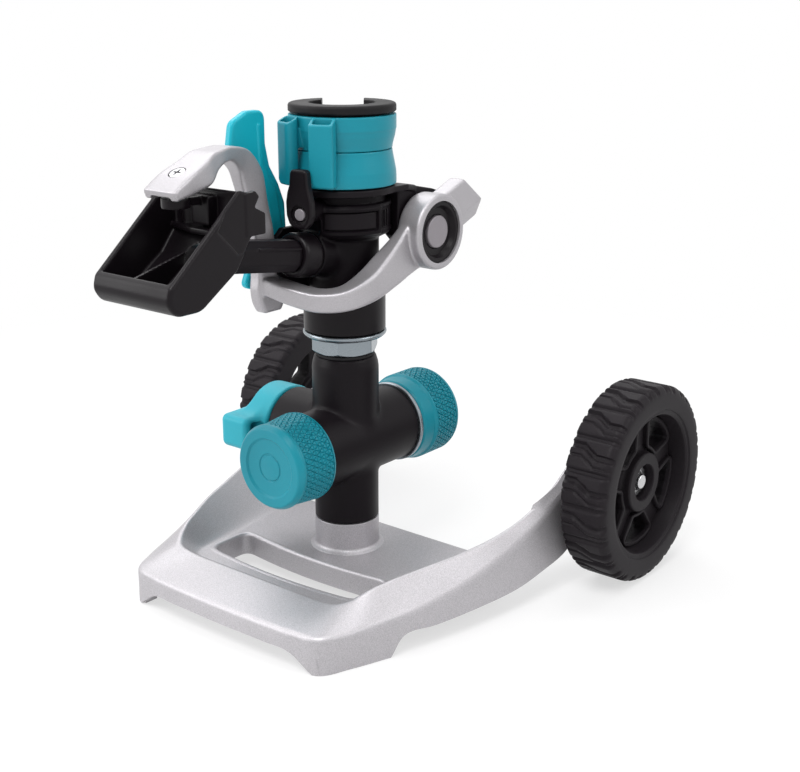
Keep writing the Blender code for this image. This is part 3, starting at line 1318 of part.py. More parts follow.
def scoop_outline():
    """Side of the scoop as (y, z): back corner, lower back, bottom, round nose, then the sloping rim."""
    nose, seat = SCOOP_NOSE_Y, HEAD_LOW_Z
    back = nose + 49 * MM
    return [
        (back, seat + 58 * MM),
        (back, seat + 40.5 * MM),
        (back - 10 * MM, seat + 26.5 * MM),
        (back - 32 * MM, seat + 13.5 * MM),
        (nose + 7 * MM, seat + 14.5 * MM),
        (nose + 1.5 * MM, seat + 18 * MM),
        (nose, seat + 22.5 * MM),
        (nose + 3 * MM, seat + 26.5 * MM),
        (back - 7 * MM, seat + 60 * MM),
    ]


def build_scoop(pivot, materials):
    half = SCOOP_HALF_WIDTH
    outline = scoop_outline()
    scoop = new_object("scoop", prism(outline, -half, half, "X"), materials["black_plastic"], pivot)
    bevel(scoop, 1.6 * MM, 2, math.radians(50))
    back, nose = outline[0][0], SCOOP_NOSE_Y
    wall, seat = SCOOP_WALL, HEAD_LOW_Z
    hollow = [
        (back - wall, seat + 77.5 * MM),
        (back - wall, seat + 40.5 * MM + wall * 0.6),
        (back - 10 * MM - wall * 0.8, seat + 26.5 * MM + wall),
        (back - 32 * MM, seat + 13.5 * MM + wall * 1.2),
        (nose + 7 * MM, seat + 14.5 * MM + wall),
        (nose + wall * 1.6, seat + 18 * MM + wall),
        (nose + wall * 1.5, seat + 33.5 * MM),
        (nose + wall * 1.5, seat + 77.5 * MM),
    ]
    cut(scoop, prism(hollow, -half + wall, half - wall, "X"), "hollow")
    boss_top = pad_low_z() - 2 * MM
    centre = (0, SCREW_Y, 0)
    join(scoop, rod(SCOOP_BOSS_RADIUS, SCOOP_BOSS_LOW_Z, boss_top, "Z", centre), "screw_boss")
    web = rectangle(4 * MM, back - SCREW_Y, (0, (back + SCREW_Y) / 2 - 1 * MM))
    join(scoop, prism(web, SCOOP_BOSS_LOW_Z + 1 * MM, boss_top - 2 * MM), "boss_web")
    window = rod(SCOOP_WINDOW_RADIUS, 86 * MM, 101 * MM, steps=24)
    cut(scoop, along_jet(window), "jet_window")
    shank_low = SCOOP_BOSS_LOW_Z + 3 * MM
    hole_radius = SCREW_SHANK_RADIUS + SEAT_GAP
    pilot = rod(hole_radius, shank_low - 0.5 * MM, boss_top + 1 * MM, "Z", centre, SMALL_STEPS)
    cut(scoop, pilot, "pilot_hole")

    screw_seat = screw_seat_z()
    head_top = screw_seat + 2.4 * MM
    profile = [
        (0, shank_low),
        (SCREW_SHANK_RADIUS, shank_low),
        (SCREW_SHANK_RADIUS, screw_seat),
        (SCREW_HEAD_RADIUS, screw_seat),
        (SCREW_HEAD_RADIUS, head_top - 0.8 * MM),
        (SCREW_HEAD_RADIUS - 1 * MM, head_top),
        (0, head_top),
    ]
    new_object("scoop_screw", turned(profile, "Z", centre, SMALL_STEPS), materials["steel"], pivot)


def clear_scene():
    for obj in list(bpy.data.objects):
        bpy.data.objects.remove(obj, do_unlink=True)


def main():
    clear_scene()
    materials = make_materials()
    root = new_empty("sprinkler_root", (0, 0, 0))
    root.location = (0, ROOT_Y, 0)
    build_base(root, materials)
    build_axles(root, materials)
    for side in (1, -1):
        build_wheel(side, root, materials)
    build_manifold(root, materials)
    build_inlet(root, materials)
    build_cap(root, materials)
    build_valve(root, materials)
    build_adapter(root, materials)
    build_drum(root, materials)
    head_axis = build_head(root, materials)
    build_arm(head_axis, materials)
    bpy.context.view_layer.update()


main()
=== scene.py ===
"""Looks of the impulse sprinkler on its wheeled sled base.

Shapes are drawn in millimetres in the sprinkler's own frame: Z is the riser's centre line, the floor
is z = 0 and the front is -Y. add_piece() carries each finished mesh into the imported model's frame, in metres.
"""

import json
import math

import bmesh
import bpy
import numpy as np
from mathutils import Matrix, Vector


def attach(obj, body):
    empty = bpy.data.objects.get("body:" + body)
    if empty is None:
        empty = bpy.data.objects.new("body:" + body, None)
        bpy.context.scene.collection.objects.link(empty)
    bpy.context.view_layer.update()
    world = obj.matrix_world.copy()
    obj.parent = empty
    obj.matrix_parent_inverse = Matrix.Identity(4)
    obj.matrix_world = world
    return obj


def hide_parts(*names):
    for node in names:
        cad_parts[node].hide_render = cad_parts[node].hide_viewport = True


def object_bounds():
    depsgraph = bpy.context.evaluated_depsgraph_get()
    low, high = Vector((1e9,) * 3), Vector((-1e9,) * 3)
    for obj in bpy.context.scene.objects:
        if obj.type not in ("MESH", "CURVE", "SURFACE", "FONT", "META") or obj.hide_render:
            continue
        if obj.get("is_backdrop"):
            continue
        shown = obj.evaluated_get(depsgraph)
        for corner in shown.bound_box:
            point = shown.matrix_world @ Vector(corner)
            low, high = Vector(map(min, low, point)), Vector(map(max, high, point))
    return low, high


MM = 0.001
FULL = 2 * math.pi

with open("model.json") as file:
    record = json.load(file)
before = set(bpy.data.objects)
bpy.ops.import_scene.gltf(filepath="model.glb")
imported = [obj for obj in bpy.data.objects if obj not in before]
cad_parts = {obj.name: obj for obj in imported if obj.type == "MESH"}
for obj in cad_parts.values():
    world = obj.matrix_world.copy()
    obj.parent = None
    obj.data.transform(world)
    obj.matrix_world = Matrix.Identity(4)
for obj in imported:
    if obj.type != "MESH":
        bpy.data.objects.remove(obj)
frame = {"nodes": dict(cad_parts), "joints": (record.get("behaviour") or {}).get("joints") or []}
cad_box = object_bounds()

JOINTS = {joint["name"]: joint for joint in frame["joints"]}
RISER_Y = JOINTS["head_turn"]["pos_m"][1]


def joint_point(name):
    """A joint's place in the sprinkler's frame, in millimetres."""
    x, y, z = JOINTS[name]["pos_m"]
    return Vector((x, y - RISER_Y, z)) / MM


def add_object(name, data):
    obj = bpy.data.objects.new(name, data)
    bpy.context.scene.collection.objects.link(obj)
    return obj


AXLE = joint_point("wheel_right_spin")
AXLE_LINE = (0, AXLE.y, AXLE.z)


# Materials

def put(tree, node, inputs):
    """Sets a shader node's inputs, or links them where the value is another node's output."""
    for key, value in inputs.items():
        if isinstance(value, bpy.types.NodeSocket):
            tree.links.new(value, node.inputs[key])
        else:
            node.inputs[key].default_value = value


def add_node(tree, kind, inputs, **settings):
    node = tree.nodes.new("ShaderNode" + kind)
    for key, value in settings.items():
        setattr(node, key, value)
    put(tree, node, inputs)
    return node


def ramped(tree, source, low, high):
    """A number that follows a texture's middle range between two values."""
    inputs = {"Value": source, "From Min": 0.3, "From Max": 0.7, "To Min": low, "To Max": high}
    return add_node(tree, "MapRange", inputs).outputs["Result"]


def moulded(name, colour, roughness, metallic, grain, depth, speckle, specular=0.5):
    """A paint or plastic: fine grain in the relief and colour, over a faint broad unevenness.

    grain is the size of the grain and depth its height, in millimetres. speckle is its share of the colour.
    """
    material = bpy.data.materials.new(name)
    material.use_nodes = True
    tree = material.node_tree
    place = add_node(tree, "TexCoord", {}).outputs["Object"]
    inputs = {"Vector": place, "Scale": 1 / (grain * MM), "Detail": 2.0, "Roughness": 0.6}
    fine = add_node(tree, "TexNoise", inputs).outputs["Fac"]
    broad = add_node(tree, "TexNoise", {"Vector": place, "Scale": 35.0, "Detail": 3.0}).outputs["Fac"]

    dark, light = ((*(min(1, part * share) for part in colour), 1) for share in (1 - speckle, 1 + speckle))
    inputs = {"Fac": ramped(tree, fine, 0, 1), "Color1": dark, "Color2": light}
    tone = add_node(tree, "MixRGB", inputs).outputs["Color"]
    inputs = {"Fac": 1.0, "Color1": tone, "Color2": ramped(tree, broad, 0.96, 1.02)}
    uneven = add_node(tree, "MixRGB", inputs, blend_type="MULTIPLY").outputs["Color"]
    inputs = {"Height": fine, "Strength": 0.6, "Distance": depth * MM}
    relief = add_node(tree, "Bump", inputs).outputs["Normal"]
    inputs = {"Metallic": metallic, "Specular IOR Level": specular, "Base Color": uneven, "Normal": relief}
    inputs["Roughness"] = ramped(tree, broad, roughness - 0.04, roughness + 0.04)
    put(tree, tree.nodes["Principled BSDF"], inputs)
    return material


# Every material by name: colour, roughness, metallic, grain, depth, speckle and specular
LOOKS = {
    "silver_cast": ((0.45, 0.436, 0.455), 0.48, 0.65, 0.45, 0.03, 0.20, 0.4),
    "silver_arm": ((0.42, 0.406, 0.425), 0.44, 0.65, 0.4, 0.025, 0.12, 0.4),
    "black_satin": ((0.0075, 0.0056, 0.0073), 0.42, 0.0, 0.5, 0.012, 0.08, 0.12),
    "black_gloss": ((0.0066, 0.0048, 0.0064), 0.34, 0.0, 0.6, 0.006, 0.06, 0.16),
    "black_tyre": ((0.014, 0.0115, 0.0138), 0.5, 0.0, 0.7, 0.03, 0.12, 0.12),
    "black_dark": ((0.0042, 0.0028, 0.0041), 0.45, 0.0, 0.5, 0.01, 0.08, 0.1),
    "grey_crown": ((0.012, 0.011, 0.012), 0.5, 0.0, 0.5, 0.012, 0.08, 0.12),
    "teal": ((0.008, 0.24, 0.31), 0.36, 0.0, 0.5, 0.01, 0.03, 0.25),
    "teal_light": ((0.022, 0.37, 0.46), 0.38, 0.0, 0.5, 0.01, 0.03, 0.25),
    "teal_deep": ((0.008, 0.39, 0.49), 0.34, 0.0, 0.5, 0.01, 0.03, 0.25),
    "zinc": ((0.27, 0.305, 0.33), 0.28, 0.9, 0.35, 0.008, 0.05),
    "steel": ((0.55, 0.55, 0.56), 0.25, 1.0, 0.3, 0.006, 0.05),
    "grey_pin": ((0.27, 0.25, 0.27), 0.45, 0.35, 0.4, 0.012, 0.06),
    "brass": ((0.55, 0.36, 0.11), 0.28, 1.0, 0.4, 0.006, 0.06),
    "rubber": ((0.02, 0.02, 0.021), 0.8, 0.0, 0.6, 0.02, 0.1, 0.2),
    "nylon": ((0.62, 0.6, 0.54), 0.5, 0.0, 0.5, 0.01, 0.03),
}
MATERIALS = {name: moulded(name, *look) for name, look in LOOKS.items()}


# Mesh makers, each returning a bmesh in millimetres in the sprinkler's frame

NEARLY_STRAIGHT = math.radians(88)
WELD = 0.002
NO_EDGE = 0.01
TURN = {
    "X": np.array(((0, 0, 1), (1, 0, 0), (0, 1, 0)), float),
    "Y": np.array(((0, 1, 0), (0, 0, 1), (1, 0, 0)), float),
    "Z": np.eye(3),
}


def from_mesh(mesh):
    """Mesh data as a bmesh. The mesh data goes."""
    bm = bmesh.new()
    bm.from_mesh(mesh)
    bpy.data.meshes.remove(mesh)
    return bm


def to_mesh(bm, name="shape"):
    """A bmesh as mesh data. The bmesh goes."""
    mesh = bpy.data.meshes.new(name)
    bm.to_mesh(mesh)
    bm.free()
    return mesh


def surface(points, ring=True):
    """Quads over closed loops of points, of shape (loops, points, 3).

    A ring joins its last loop to its first. Anything else has a face over each end.
    """
    rows, columns = points.shape[:2]
    index = np.arange(rows * columns).reshape(rows, columns)
    if ring:
        index = np.vstack((index, index[:1]))
    index = np.hstack((index, index[:, :1]))
    corners = (index[:-1, :-1], index[:-1, 1:], index[1:, 1:], index[1:, :-1])
    faces = np.stack(corners, -1).reshape(-1, 4).tolist()
    if not ring:
        faces += [index[0, :columns].tolist(), index[-1, :columns][::-1].tolist()]
    mesh = bpy.data.meshes.new("grid")
    mesh.from_pydata(points.reshape(-1, 3).tolist(), [], faces)
    bm = from_mesh(mesh)
    bmesh.ops.remove_doubles(bm, verts=bm.verts, dist=WELD)
    bmesh.ops.dissolve_degenerate(bm, edges=bm.edges, dist=WELD / 2)
    bmesh.ops.recalc_face_normals(bm, faces=bm.faces)
    return bm


def merged(*parts):
    """Several bmeshes as one, each keeping its own skin."""
    whole = bmesh.new()
    for part in parts:
        mesh = to_mesh(part)
        whole.from_mesh(mesh)
        bpy.data.meshes.remove(mesh)
    return whole


def rounded(points, radius, steps=4, closed=True):
    """An outline with an arc at each corner. A corner may carry its own radius as a third number."""
    corners = [(Vector(p[:2]), p[2] if len(p) > 2 else radius) for p in points]
    path = []
    count = len(corners)
    for number, (corner, own_radius) in enumerate(corners):
        if (not closed and number in (0, count - 1)) or own_radius <= 0:
            path.append(tuple(corner))
            continue
        to_last = corners[number - 1][0] - corner
        to_next = corners[(number + 1) % count][0] - corner
        half = to_last.angle(to_next) / 2
        if half > NEARLY_STRAIGHT:
            path.append(tuple(corner))
            continue
        back = min(own_radius / math.tan(half), to_last.length * 0.49, to_next.length * 0.49)
        start, end = corner + to_last.normalized() * back, corner + to_next.normalized() * back
        for step in range(steps + 1):
            t = step / steps
            path.append(tuple(start * (1 - t) ** 2 + corner * (2 * t * (1 - t)) + end * t**2))
    return path


def lathe(profile, axis="Z", centre=(0, 0, 0), steps=96, relief=None):
    """A profile of (radius, height) turned about an axis. relief(radius, height, angle) gives new radii."""
    profile = np.array([p[:2] for p in profile], float)
    angle = np.arange(steps) * FULL / steps
    radius = np.repeat(profile[:, :1], steps, 1)
    height = np.repeat(profile[:, 1:], steps, 1)
    angle = np.repeat(angle[None], len(profile), 0)
    if relief is not None:
        radius = relief(radius, height, angle)
    local = np.stack((radius * np.cos(angle), radius * np.sin(angle), height), -1)
    return surface(local @ TURN[axis].T + np.array(centre, float))


def turned(profile, edge, *place, **more):
    """A lathe with the profile's corners rounded."""
    return lathe(rounded(profile, edge), *place, **more)


def rod(radius, low, high, axis="Z", centre=(0, 0, 0), edge=0.5, steps=64):
    profile = [(0, low, 0), (radius, low, edge), (radius, high, edge), (0, high, 0)]
    return lathe(rounded(profile, edge, closed=False), axis, centre, steps)


def inset(outline, by):
    """The outline moved inwards along the normals of its points."""
    points = np.array(outline, float)
    before, after = np.roll(points, 1, 0), np.roll(points, -1, 0)
    along = after - before
    normal = np.stack((along[:, 1], -along[:, 0]), -1)
    normal /= np.maximum(np.linalg.norm(normal, axis=1, keepdims=True), 1e-9)
    x, y = points[:, 0], points[:, 1]
    way = 1 if (x * np.roll(y, -1) - np.roll(x, -1) * y).sum() > 0 else -1
    return points - way * by * normal


def softened(points):
    """A closed outline with its corners cut twice."""
    for _ in range(2):
        after = np.roll(points, -1, 0)
        points = np.stack((points * 0.75 + after * 0.25, points * 0.25 + after * 0.75), 1).reshape(-1, 2)
    return points


def layered(outlines):
    """Pairs of a flat outline and its height, as rows of points."""
    return np.array([np.column_stack((flat, np.full(len(flat), height))) for flat, height in outlines])


def slab(outline, low, high, axis="Z", centre=(0, 0, 0), edge=0.8):
    """An outline carried from low to high, its two rims rounded by edge."""
    steps, rings = 3, []
    for step in range(steps + 1):
        turn = math.pi / 2 * step / steps
        rings.append((edge * (1 - math.sin(turn)), low + edge * (1 - math.cos(turn))))
    rings += [(by, high + low - height) for by, height in rings[::-1]]
    layers = layered([(inset(outline, by), height) for by, height in rings])
    return surface(layers @ TURN[axis].T + np.array(centre, float), ring=False)


def smooth_path(rows, per_span):
    """Points on a curve through the rows, evenly many in each gap. rows has shape (rows, ..., 3)."""
    rows = np.array(rows, float)
    flat = rows.reshape(len(rows), -1)
    first, last = 2 * flat[0] - flat[1], 2 * flat[-1] - flat[-2]
    flat = np.vstack((first, flat, last))
    found = []
    for number in range(1, len(flat) - 2):
        p0, p1, p2, p3 = flat[number - 1 : number + 3]
        gaps = [max(np.linalg.norm(b - a), 1e-6) ** 0.5 for a, b in ((p0, p1), (p1, p2), (p2, p3))]
        m1 = (p2 - p1) + gaps[1] * ((p1 - p0) / gaps[0] - (p2 - p0) / (gaps[0] + gaps[1]))
        m2 = (p2 - p1) + gaps[1] * ((p3 - p2) / gaps[2] - (p3 - p1) / (gaps[1] + gaps[2]))
        last_span = number == len(flat) - 3
        for step in range(per_span + last_span):
            t = step / per_span
            found.append(
                (2 * t**3 - 3 * t**2 + 1) * p1
                + (t**3 - 2 * t**2 + t) * m1
                + (3 * t**2 - 2 * t**3) * p2
                + (t**3 - t**2) * m2
            )
    return np.array(found).reshape(-1, *rows.shape[1:])


def swept(rows, per_span, corner):
    """A bar through rows of (centre, half width vector, half height vector)."""
    path = smooth_path(rows, per_span)
    outline = np.array(rounded([(-1, -1), (1, -1), (1, 1), (-1, 1)], corner))[None]
    across, up = outline[:, :, :1] * path[:, None, 1], outline[:, :, 1:] * path[:, None, 2]
    return surface(path[:, None, 0] + across + up, ring=False)


def temporary(bm):
    return add_object("temporary", to_mesh(bm))


def settled(obj, helpers=()):
    """The object's mesh with its modifiers applied, as a bmesh. The object and its helpers go."""
    graph = bpy.context.evaluated_depsgraph_get()
    bm = from_mesh(bpy.data.meshes.new_from_object(obj.evaluated_get(graph), depsgraph=graph))
    for used in (obj, *helpers):
        data = used.data
        bpy.data.objects.remove(used, do_unlink=True)
        bpy.data.meshes.remove(data)
    return bm


def cut(bm, *others):
    """The shape with the others taken out of it."""
    obj = temporary(bm)
    helpers = [temporary(other) for other in others]
    for helper in helpers:
        modifier = obj.modifiers.new("cut", "BOOLEAN")
        modifier.operation = "DIFFERENCE"
        modifier.solver = "EXACT"
        modifier.object = helper
    return settled(obj, helpers)


def fused(*parts, voxel=0.7, smooth=6):
    """One skin over overlapping closed shapes, with a small fillet wherever they meet."""
    obj = temporary(merged(*parts))
    remesh = obj.modifiers.new("skin", "REMESH")
    remesh.mode = "VOXEL"
    remesh.voxel_size = voxel
    relax = obj.modifiers.new("relax", "SMOOTH")
    relax.factor = 0.5
    relax.iterations = smooth
    return settled(obj)


def swung(bm, angle, axis, centre=(0, 0, 0)):
    """The bmesh turned about a line along an axis."""
    bmesh.ops.rotate(bm, verts=bm.verts, cent=centre, matrix=Matrix.Rotation(angle, 3, axis))
    return bm


def add_piece(name, bm, material, body, *nodes, crease=38):
    """The bmesh as an object of the scene, riding a body and standing for the CAD nodes named."""
    placed = Matrix.Translation((0, RISER_Y, 0)) @ Matrix.Scale(MM, 4)
    bmesh.ops.transform(bm, matrix=placed, verts=bm.verts)
    mesh = to_mesh(bm, name)
    mesh.shade_smooth()
    mesh.set_sharp_from_angle(angle=math.radians(crease))
    mesh.materials.append(MATERIALS[material])
    obj = add_object(name, mesh)
    obj.modifiers.new("even_shading", "WEIGHTED_NORMAL").keep_sharp = True
    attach(obj, body)
    if nodes:
        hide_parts(*nodes)


# Skins from signed distances: shapes that flow into each other, negative inside

NUDGE = 0.02
LEAST_SLOPE = 0.3


def to_line(points, axis, centre=(0, 0, 0)):
    """Points as two across coordinates and the one along an axis."""
    return (points - np.array(centre, float)) @ TURN[axis]


def polygon(flat, outline):
    """Distance from a closed outline in a plane."""
    outline = np.array(outline, float)
    away = np.full(len(flat), np.inf)
    inside = np.zeros(len(flat), bool)
    for one, other in zip(outline, np.roll(outline, -1, 0)):
        edge, reach = other - one, flat - one
        share = np.clip(reach @ edge / (edge @ edge), 0, 1)
        away = np.minimum(away, ((reach - share[:, None] * edge) ** 2).sum(1))
        if one[1] != other[1]:
            crossed = (one[1] > flat[:, 1]) != (other[1] > flat[:, 1])
            inside ^= crossed & (flat[:, 0] < one[0] + (flat[:, 1] - one[1]) / edge[1] * edge[0])
    return np.where(inside, -1, 1) * np.sqrt(away)


def past(values, low, high):
    """How far values lie outside a stretch, negative inside."""
    return np.abs(values - (low + high) / 2) - (high - low) / 2


def rim(across, beyond, edge):
    """Two distances meeting at a rounded edge."""
    across, beyond = across + edge, beyond + edge
    outside = np.hypot(np.maximum(across, 0), np.maximum(beyond, 0))
    return outside + np.minimum(np.maximum(across, beyond), 0) - edge


def box_rim(away, edge):
    """Three distances meeting at rounded edges and corners."""
    return np.linalg.norm(np.maximum(away, 0), axis=1) + np.minimum(away.max(1), 0) - edge


def cylinder(points, axis, low, high, radius, edge, centre=(0, 0, 0)):
    line = to_line(points, axis, centre)
    return rim(np.hypot(line[:, 0], line[:, 1]) - radius, past(line[:, 2], low, high), edge)


def spun(points, outline):
    """Distance from an outline of (radius, height) turned about Z. Solids reach past the axis to -5."""
    return polygon(np.stack((np.hypot(points[:, 0], points[:, 1]), points[:, 2]), 1), outline)


def extruded(points, outline, low, high, axis="Z", edge=0.5):
    line = to_line(points, axis)
    return rim(polygon(line[:, :2], outline), past(line[:, 2], low, high), edge)


def block(points, low, high, edge):
    return box_rim(past(points, np.array(low, float), np.array(high, float)) + edge, edge)


def joined(one, other, fillet):
    mix = np.clip(0.5 + 0.5 * (other - one) / fillet, 0, 1)
    return other * (1 - mix) + one * mix - fillet * mix * (1 - mix)


def carved(one, other, fillet):
    return -joined(-one, other, fillet)


def shared(one, other, fillet):
    return -joined(-one, -other, fillet)


def turned_back(points, degrees):
    """Points seen from a frame that is turned about Z."""
    return points @ np.array(Matrix.Rotation(math.radians(degrees), 3, "Z"))


def drawn(points, distance, step):
    """Points moved onto the surface where the distance is zero."""
    level = distance(points)
    slope = np.stack([distance(points + shift) - level for shift in np.eye(3) * NUDGE], 1) / NUDGE
    pull = level / np.maximum((slope**2).sum(1), LEAST_SLOPE)
    return points - np.clip(pull, -step, step)[:, None] * slope


def skin(distance, low, high, step):
    """The surface where distance(points) is zero, between two corners, as quads about one step wide."""
    low = np.array(low, float)
    span = 6
    blocks = np.ceil((np.array(high, float) - low) / (step * span)).astype(int)
    centres = low + (np.indices(blocks).reshape(3, -1).T + 0.5) * step * span
    level = distance(centres).reshape(blocks)
    for axis in range(3):
        level = np.repeat(level, span, axis)
    level = np.pad(level, ((0, 1),) * 3, mode="edge")
    near = np.abs(level) < step * span
    for axis in range(3):
        near |= np.roll(near, 1, axis)
    level[near] = distance(low + np.argwhere(near) * step)

    inside = level < 0
    size = np.array(level.shape)
    corners = sum(
        inside[i : size[0] - 1 + i, j : size[1] - 1 + j, k : size[2] - 1 + k].astype(int)
        for i, j, k in np.ndindex(2, 2, 2)
    )
    mixed = (corners > 0) & (corners < 8)
    index = np.full(mixed.shape, -1)
    index[mixed] = np.arange(mixed.sum())
    points = low + (np.argwhere(mixed) + 0.5) * step
    quads = []
    for axis in range(3):
        one, other = (axis + 1) % 3, (axis + 2) % 3
        first = np.delete(inside, -1, axis)
        second = np.delete(inside, 0, axis)
        at = np.argwhere(first != second)
        pair, most = at[:, [one, other]], size[[one, other]] - 1
        at = at[((pair > 0) & (pair < most)).all(1)]
        a, b = np.eye(3, dtype=int)[one], np.eye(3, dtype=int)[other]
        ring = np.stack([index[tuple((at - shift).T)] for shift in (0 * a, a, a + b, b)], 1)
        outward = first[tuple(at.T)]
        quads.append(np.where(outward[:, None], ring, ring[:, ::-1]))
    quads = np.concatenate(quads)

    ends = np.concatenate([quads[:, [k, (k + 1) % 4]] for k in range(4)])
    ends = np.concatenate((ends, ends[:, ::-1]))
    count = np.bincount(ends[:, 0], minlength=len(points))[:, None]
    # Each round draws the points onto the surface and then evens out their spacing.
    for _ in range(3):
        points = drawn(points, distance, step)
        total = np.stack([np.bincount(ends[:, 0], points[ends[:, 1], k], len(points)) for k in range(3)], 1)
        points = points * 0.5 + total / count * 0.5
    points = drawn(drawn(points, distance, step), distance, step)
    mesh = bpy.data.meshes.new("skin")
    mesh.from_pydata(points.tolist(), [], quads.tolist())
    return from_mesh(mesh)


# Base casting

FRONT_REACH = 92.5
CORNER = (60.5, -88.5)
BAR_EDGE_Z = 17.8
CREASE_Z = 22.3
DECK_Z = 18.6
DECK_BACK_Y = 29.0
DECK_HALF_WIDTH = 52.0
WALL = 3.0
SLOT_HALF_LENGTH = 48.0
SLOT_FRONT_Y = -53.0
SLOT_BACK_Y = -29.0
SLOT_BOW = 4.0
SLOT_CORNER = 7.0
SLOT_WALL_LOW_Z = 7.0
BOSS_RADIUS = 16.3
BOSS_TOP_Z = 34.2
ROWS_PER_SPAN = 8
FLAT_SPANS = 9


def base_rows():
    """Low edge, top edge, ridge and deck foot of the right half, station by station from the bar's middle."""
    x, y = CORNER
    half, deck, edge, crease, reach = DECK_HALF_WIDTH, DECK_Z, BAR_EDGE_Z, CREASE_Z, FRONT_REACH
    end, hub = AXLE.y + 7, AXLE.z
    return [
        ((0, -reach - 1, 9), (0, -reach, edge), (0, -65.5, crease), (0, -61.5, deck)),
        (
            (x - 30, -reach - 0.5, 9), (x - 30, -reach + 0.5, edge),
            (half - 23, -65.5, crease), (half - 23, -61, deck),
        ),
        (
            (x - 15, y - 3.5, 8), (x - 13, y - 2.5, edge),
            (half - 8, -66, crease + 0.7), (half - 9, -60.5, deck),
        ),
        ((x, y, -2), (x, y, edge), (half, -66.5, crease + 2.7), (half - 5, -59, deck)),
        (
            (x + 6.5, y + 13.5, -2), (x + 7, y + 11.5, edge - 0.2),
            (half + 5, -62.5, crease + 4.7), (half - 2.5, -54, deck),
        ),
        (
            (x + 13, y + 30.5, -2), (x + 12, y + 26.5, edge + 0.6),
            (half + 9.5, -54, 31), (half - 1.5, -47, deck),
        ),
        ((77, -49, 9.3), (76, -51, edge + 1.1), (half + 13.5, -44, 33), (half - 1, -38, deck)),
        ((82, -31, 9.3), (80.5, -34, edge + 2.4), (half + 19.3, -30, 35.1), (half + 0.5, -24, deck)),
        ((88, -6, 10.2), (86.5, -8, edge + 7.8), (half + 26.5, -8, 37.2), (half + 3, -3, deck)),
        ((92, 20, 11.2), (90.2, 18, edge + 15), (half + 32, 12, 40.3), (half + 7, 20, deck)),
        ((94, 40, 14.5), (93, 38, edge + 23.3), (half + 35.3, 32, 45.2), (half + 16, 36, deck + 6)),
        ((95.5, 58, 19), (94.5, 55, edge + 32.8), (half + 37.5, 53, 54.5), (half + 26, 52, deck + 16)),
        ((96.3, 76, 30), (95.3, 73, edge + 43.5), (half + 38.5, 71, 66), (half + 32, 70, deck + 26)),
        (
            (96.3, end, hub - 10), (95.3, end, hub + 14),
            (half + 38.7, end, hub + 17.5), (half + 34, end, hub - 6),
        ),
    ]


def bend(before, corner, after, radius, steps):
    """Points of a rounded corner in space, for whole columns of corners at once."""
    to_last, to_next = before - corner, after - corner
    length_last = np.linalg.norm(to_last, axis=1, keepdims=True)
    length_next = np.linalg.norm(to_next, axis=1, keepdims=True)
    back = np.minimum(radius, 0.45 * np.minimum(length_last, length_next))
    start = corner + to_last / length_last * back
    end = corner + to_next / length_next * back
    return [
        start * (1 - t) ** 2 + corner * 2 * t * (1 - t) + end * t**2 for t in np.linspace(0, 1, steps + 1)
    ]


def base_sheet():
    """The outer skin of the right half as a grid, from the low edge over the ridge to the deck's foot."""
    rows = np.array(base_rows(), float)
    mirrored = rows[1:2] * (-1, 1, 1)
    fine = smooth_path(np.vstack((mirrored, rows)), ROWS_PER_SPAN)[ROWS_PER_SPAN:]
    low, top, ridge, foot = (fine[:, column] for column in range(4))
    flat_rows = FLAT_SPANS * ROWS_PER_SPAN + 1
    foot[:flat_rows, 2] = DECK_Z
    foot[0, 0] = ridge[0, 0] = top[0, 0] = low[0, 0] = 0
    control = foot + (ridge - foot) * (0.34, 0.34, 0.0)
    columns = [low, low + (top - low) * 0.5]
    columns += bend(low, top, ridge, 2.4, 6)
    columns += [top + (ridge - top) * share for share in (0.25, 0.5, 0.75)]
    columns += bend(top, ridge, control, 2.2, 6)
    start = columns[-1]
    for t in np.linspace(0, 1, 15)[1:]:
        columns.append(start * (1 - t) ** 2 + control * 2 * t * (1 - t) + foot * t**2)
    return np.array(columns).transpose(1, 0, 2), flat_rows


def build_base_shell():
    grid, flat_rows = base_sheet()
    bm = bmesh.new()
    rows = [[bm.verts.new(point) for point in row] for row in grid]
    for near, far in zip(rows, rows[1:]):
        for one, other, one_far, other_far in zip(near, near[1:], far, far[1:]):
            bm.faces.new((one, one_far, other_far, other))
    deck_edge = [row[-1] for row in rows[:flat_rows]]
    raised = [row[-1] for row in rows[flat_rows : flat_rows + ROWS_PER_SPAN]]
    corner_x = deck_edge[-1].co.x + 3
    corner = bm.verts.new((corner_x, DECK_BACK_Y, DECK_Z))
    middle = bm.verts.new((0, DECK_BACK_Y, DECK_Z))
    bm.faces.new(deck_edge + [corner, middle])
    for one, other in zip([deck_edge[-1]] + raised, raised):
        bm.faces.new((one, other, corner))
    # The deck's back edge bends down into a short wall.
    last = (corner, middle)
    for out, down in ((0.7, 0.25), (1.2, 0.8), (1.5, 1.8), (2.0, 8.0)):
        lower = [bm.verts.new((v.co.x, DECK_BACK_Y + out, DECK_Z - down)) for v in (corner, middle)]
        bm.faces.new((last[0], last[1], lower[1], lower[0]))
        last = lower
    bmesh.ops.recalc_face_normals(bm, faces=bm.faces)
    deck_face = max(bm.faces, key=lambda face: len(face.verts))
    if deck_face.normal.z < 0:
        bmesh.ops.reverse_faces(bm, faces=bm.faces)
    obj = temporary(bm)
    mirror = obj.modifiers.new("left_half", "MIRROR")
    mirror.merge_threshold = 0.01
    wall = obj.modifiers.new("wall", "SOLIDIFY")
    wall.thickness = WALL
    wall.offset = -1
    return settled(obj)


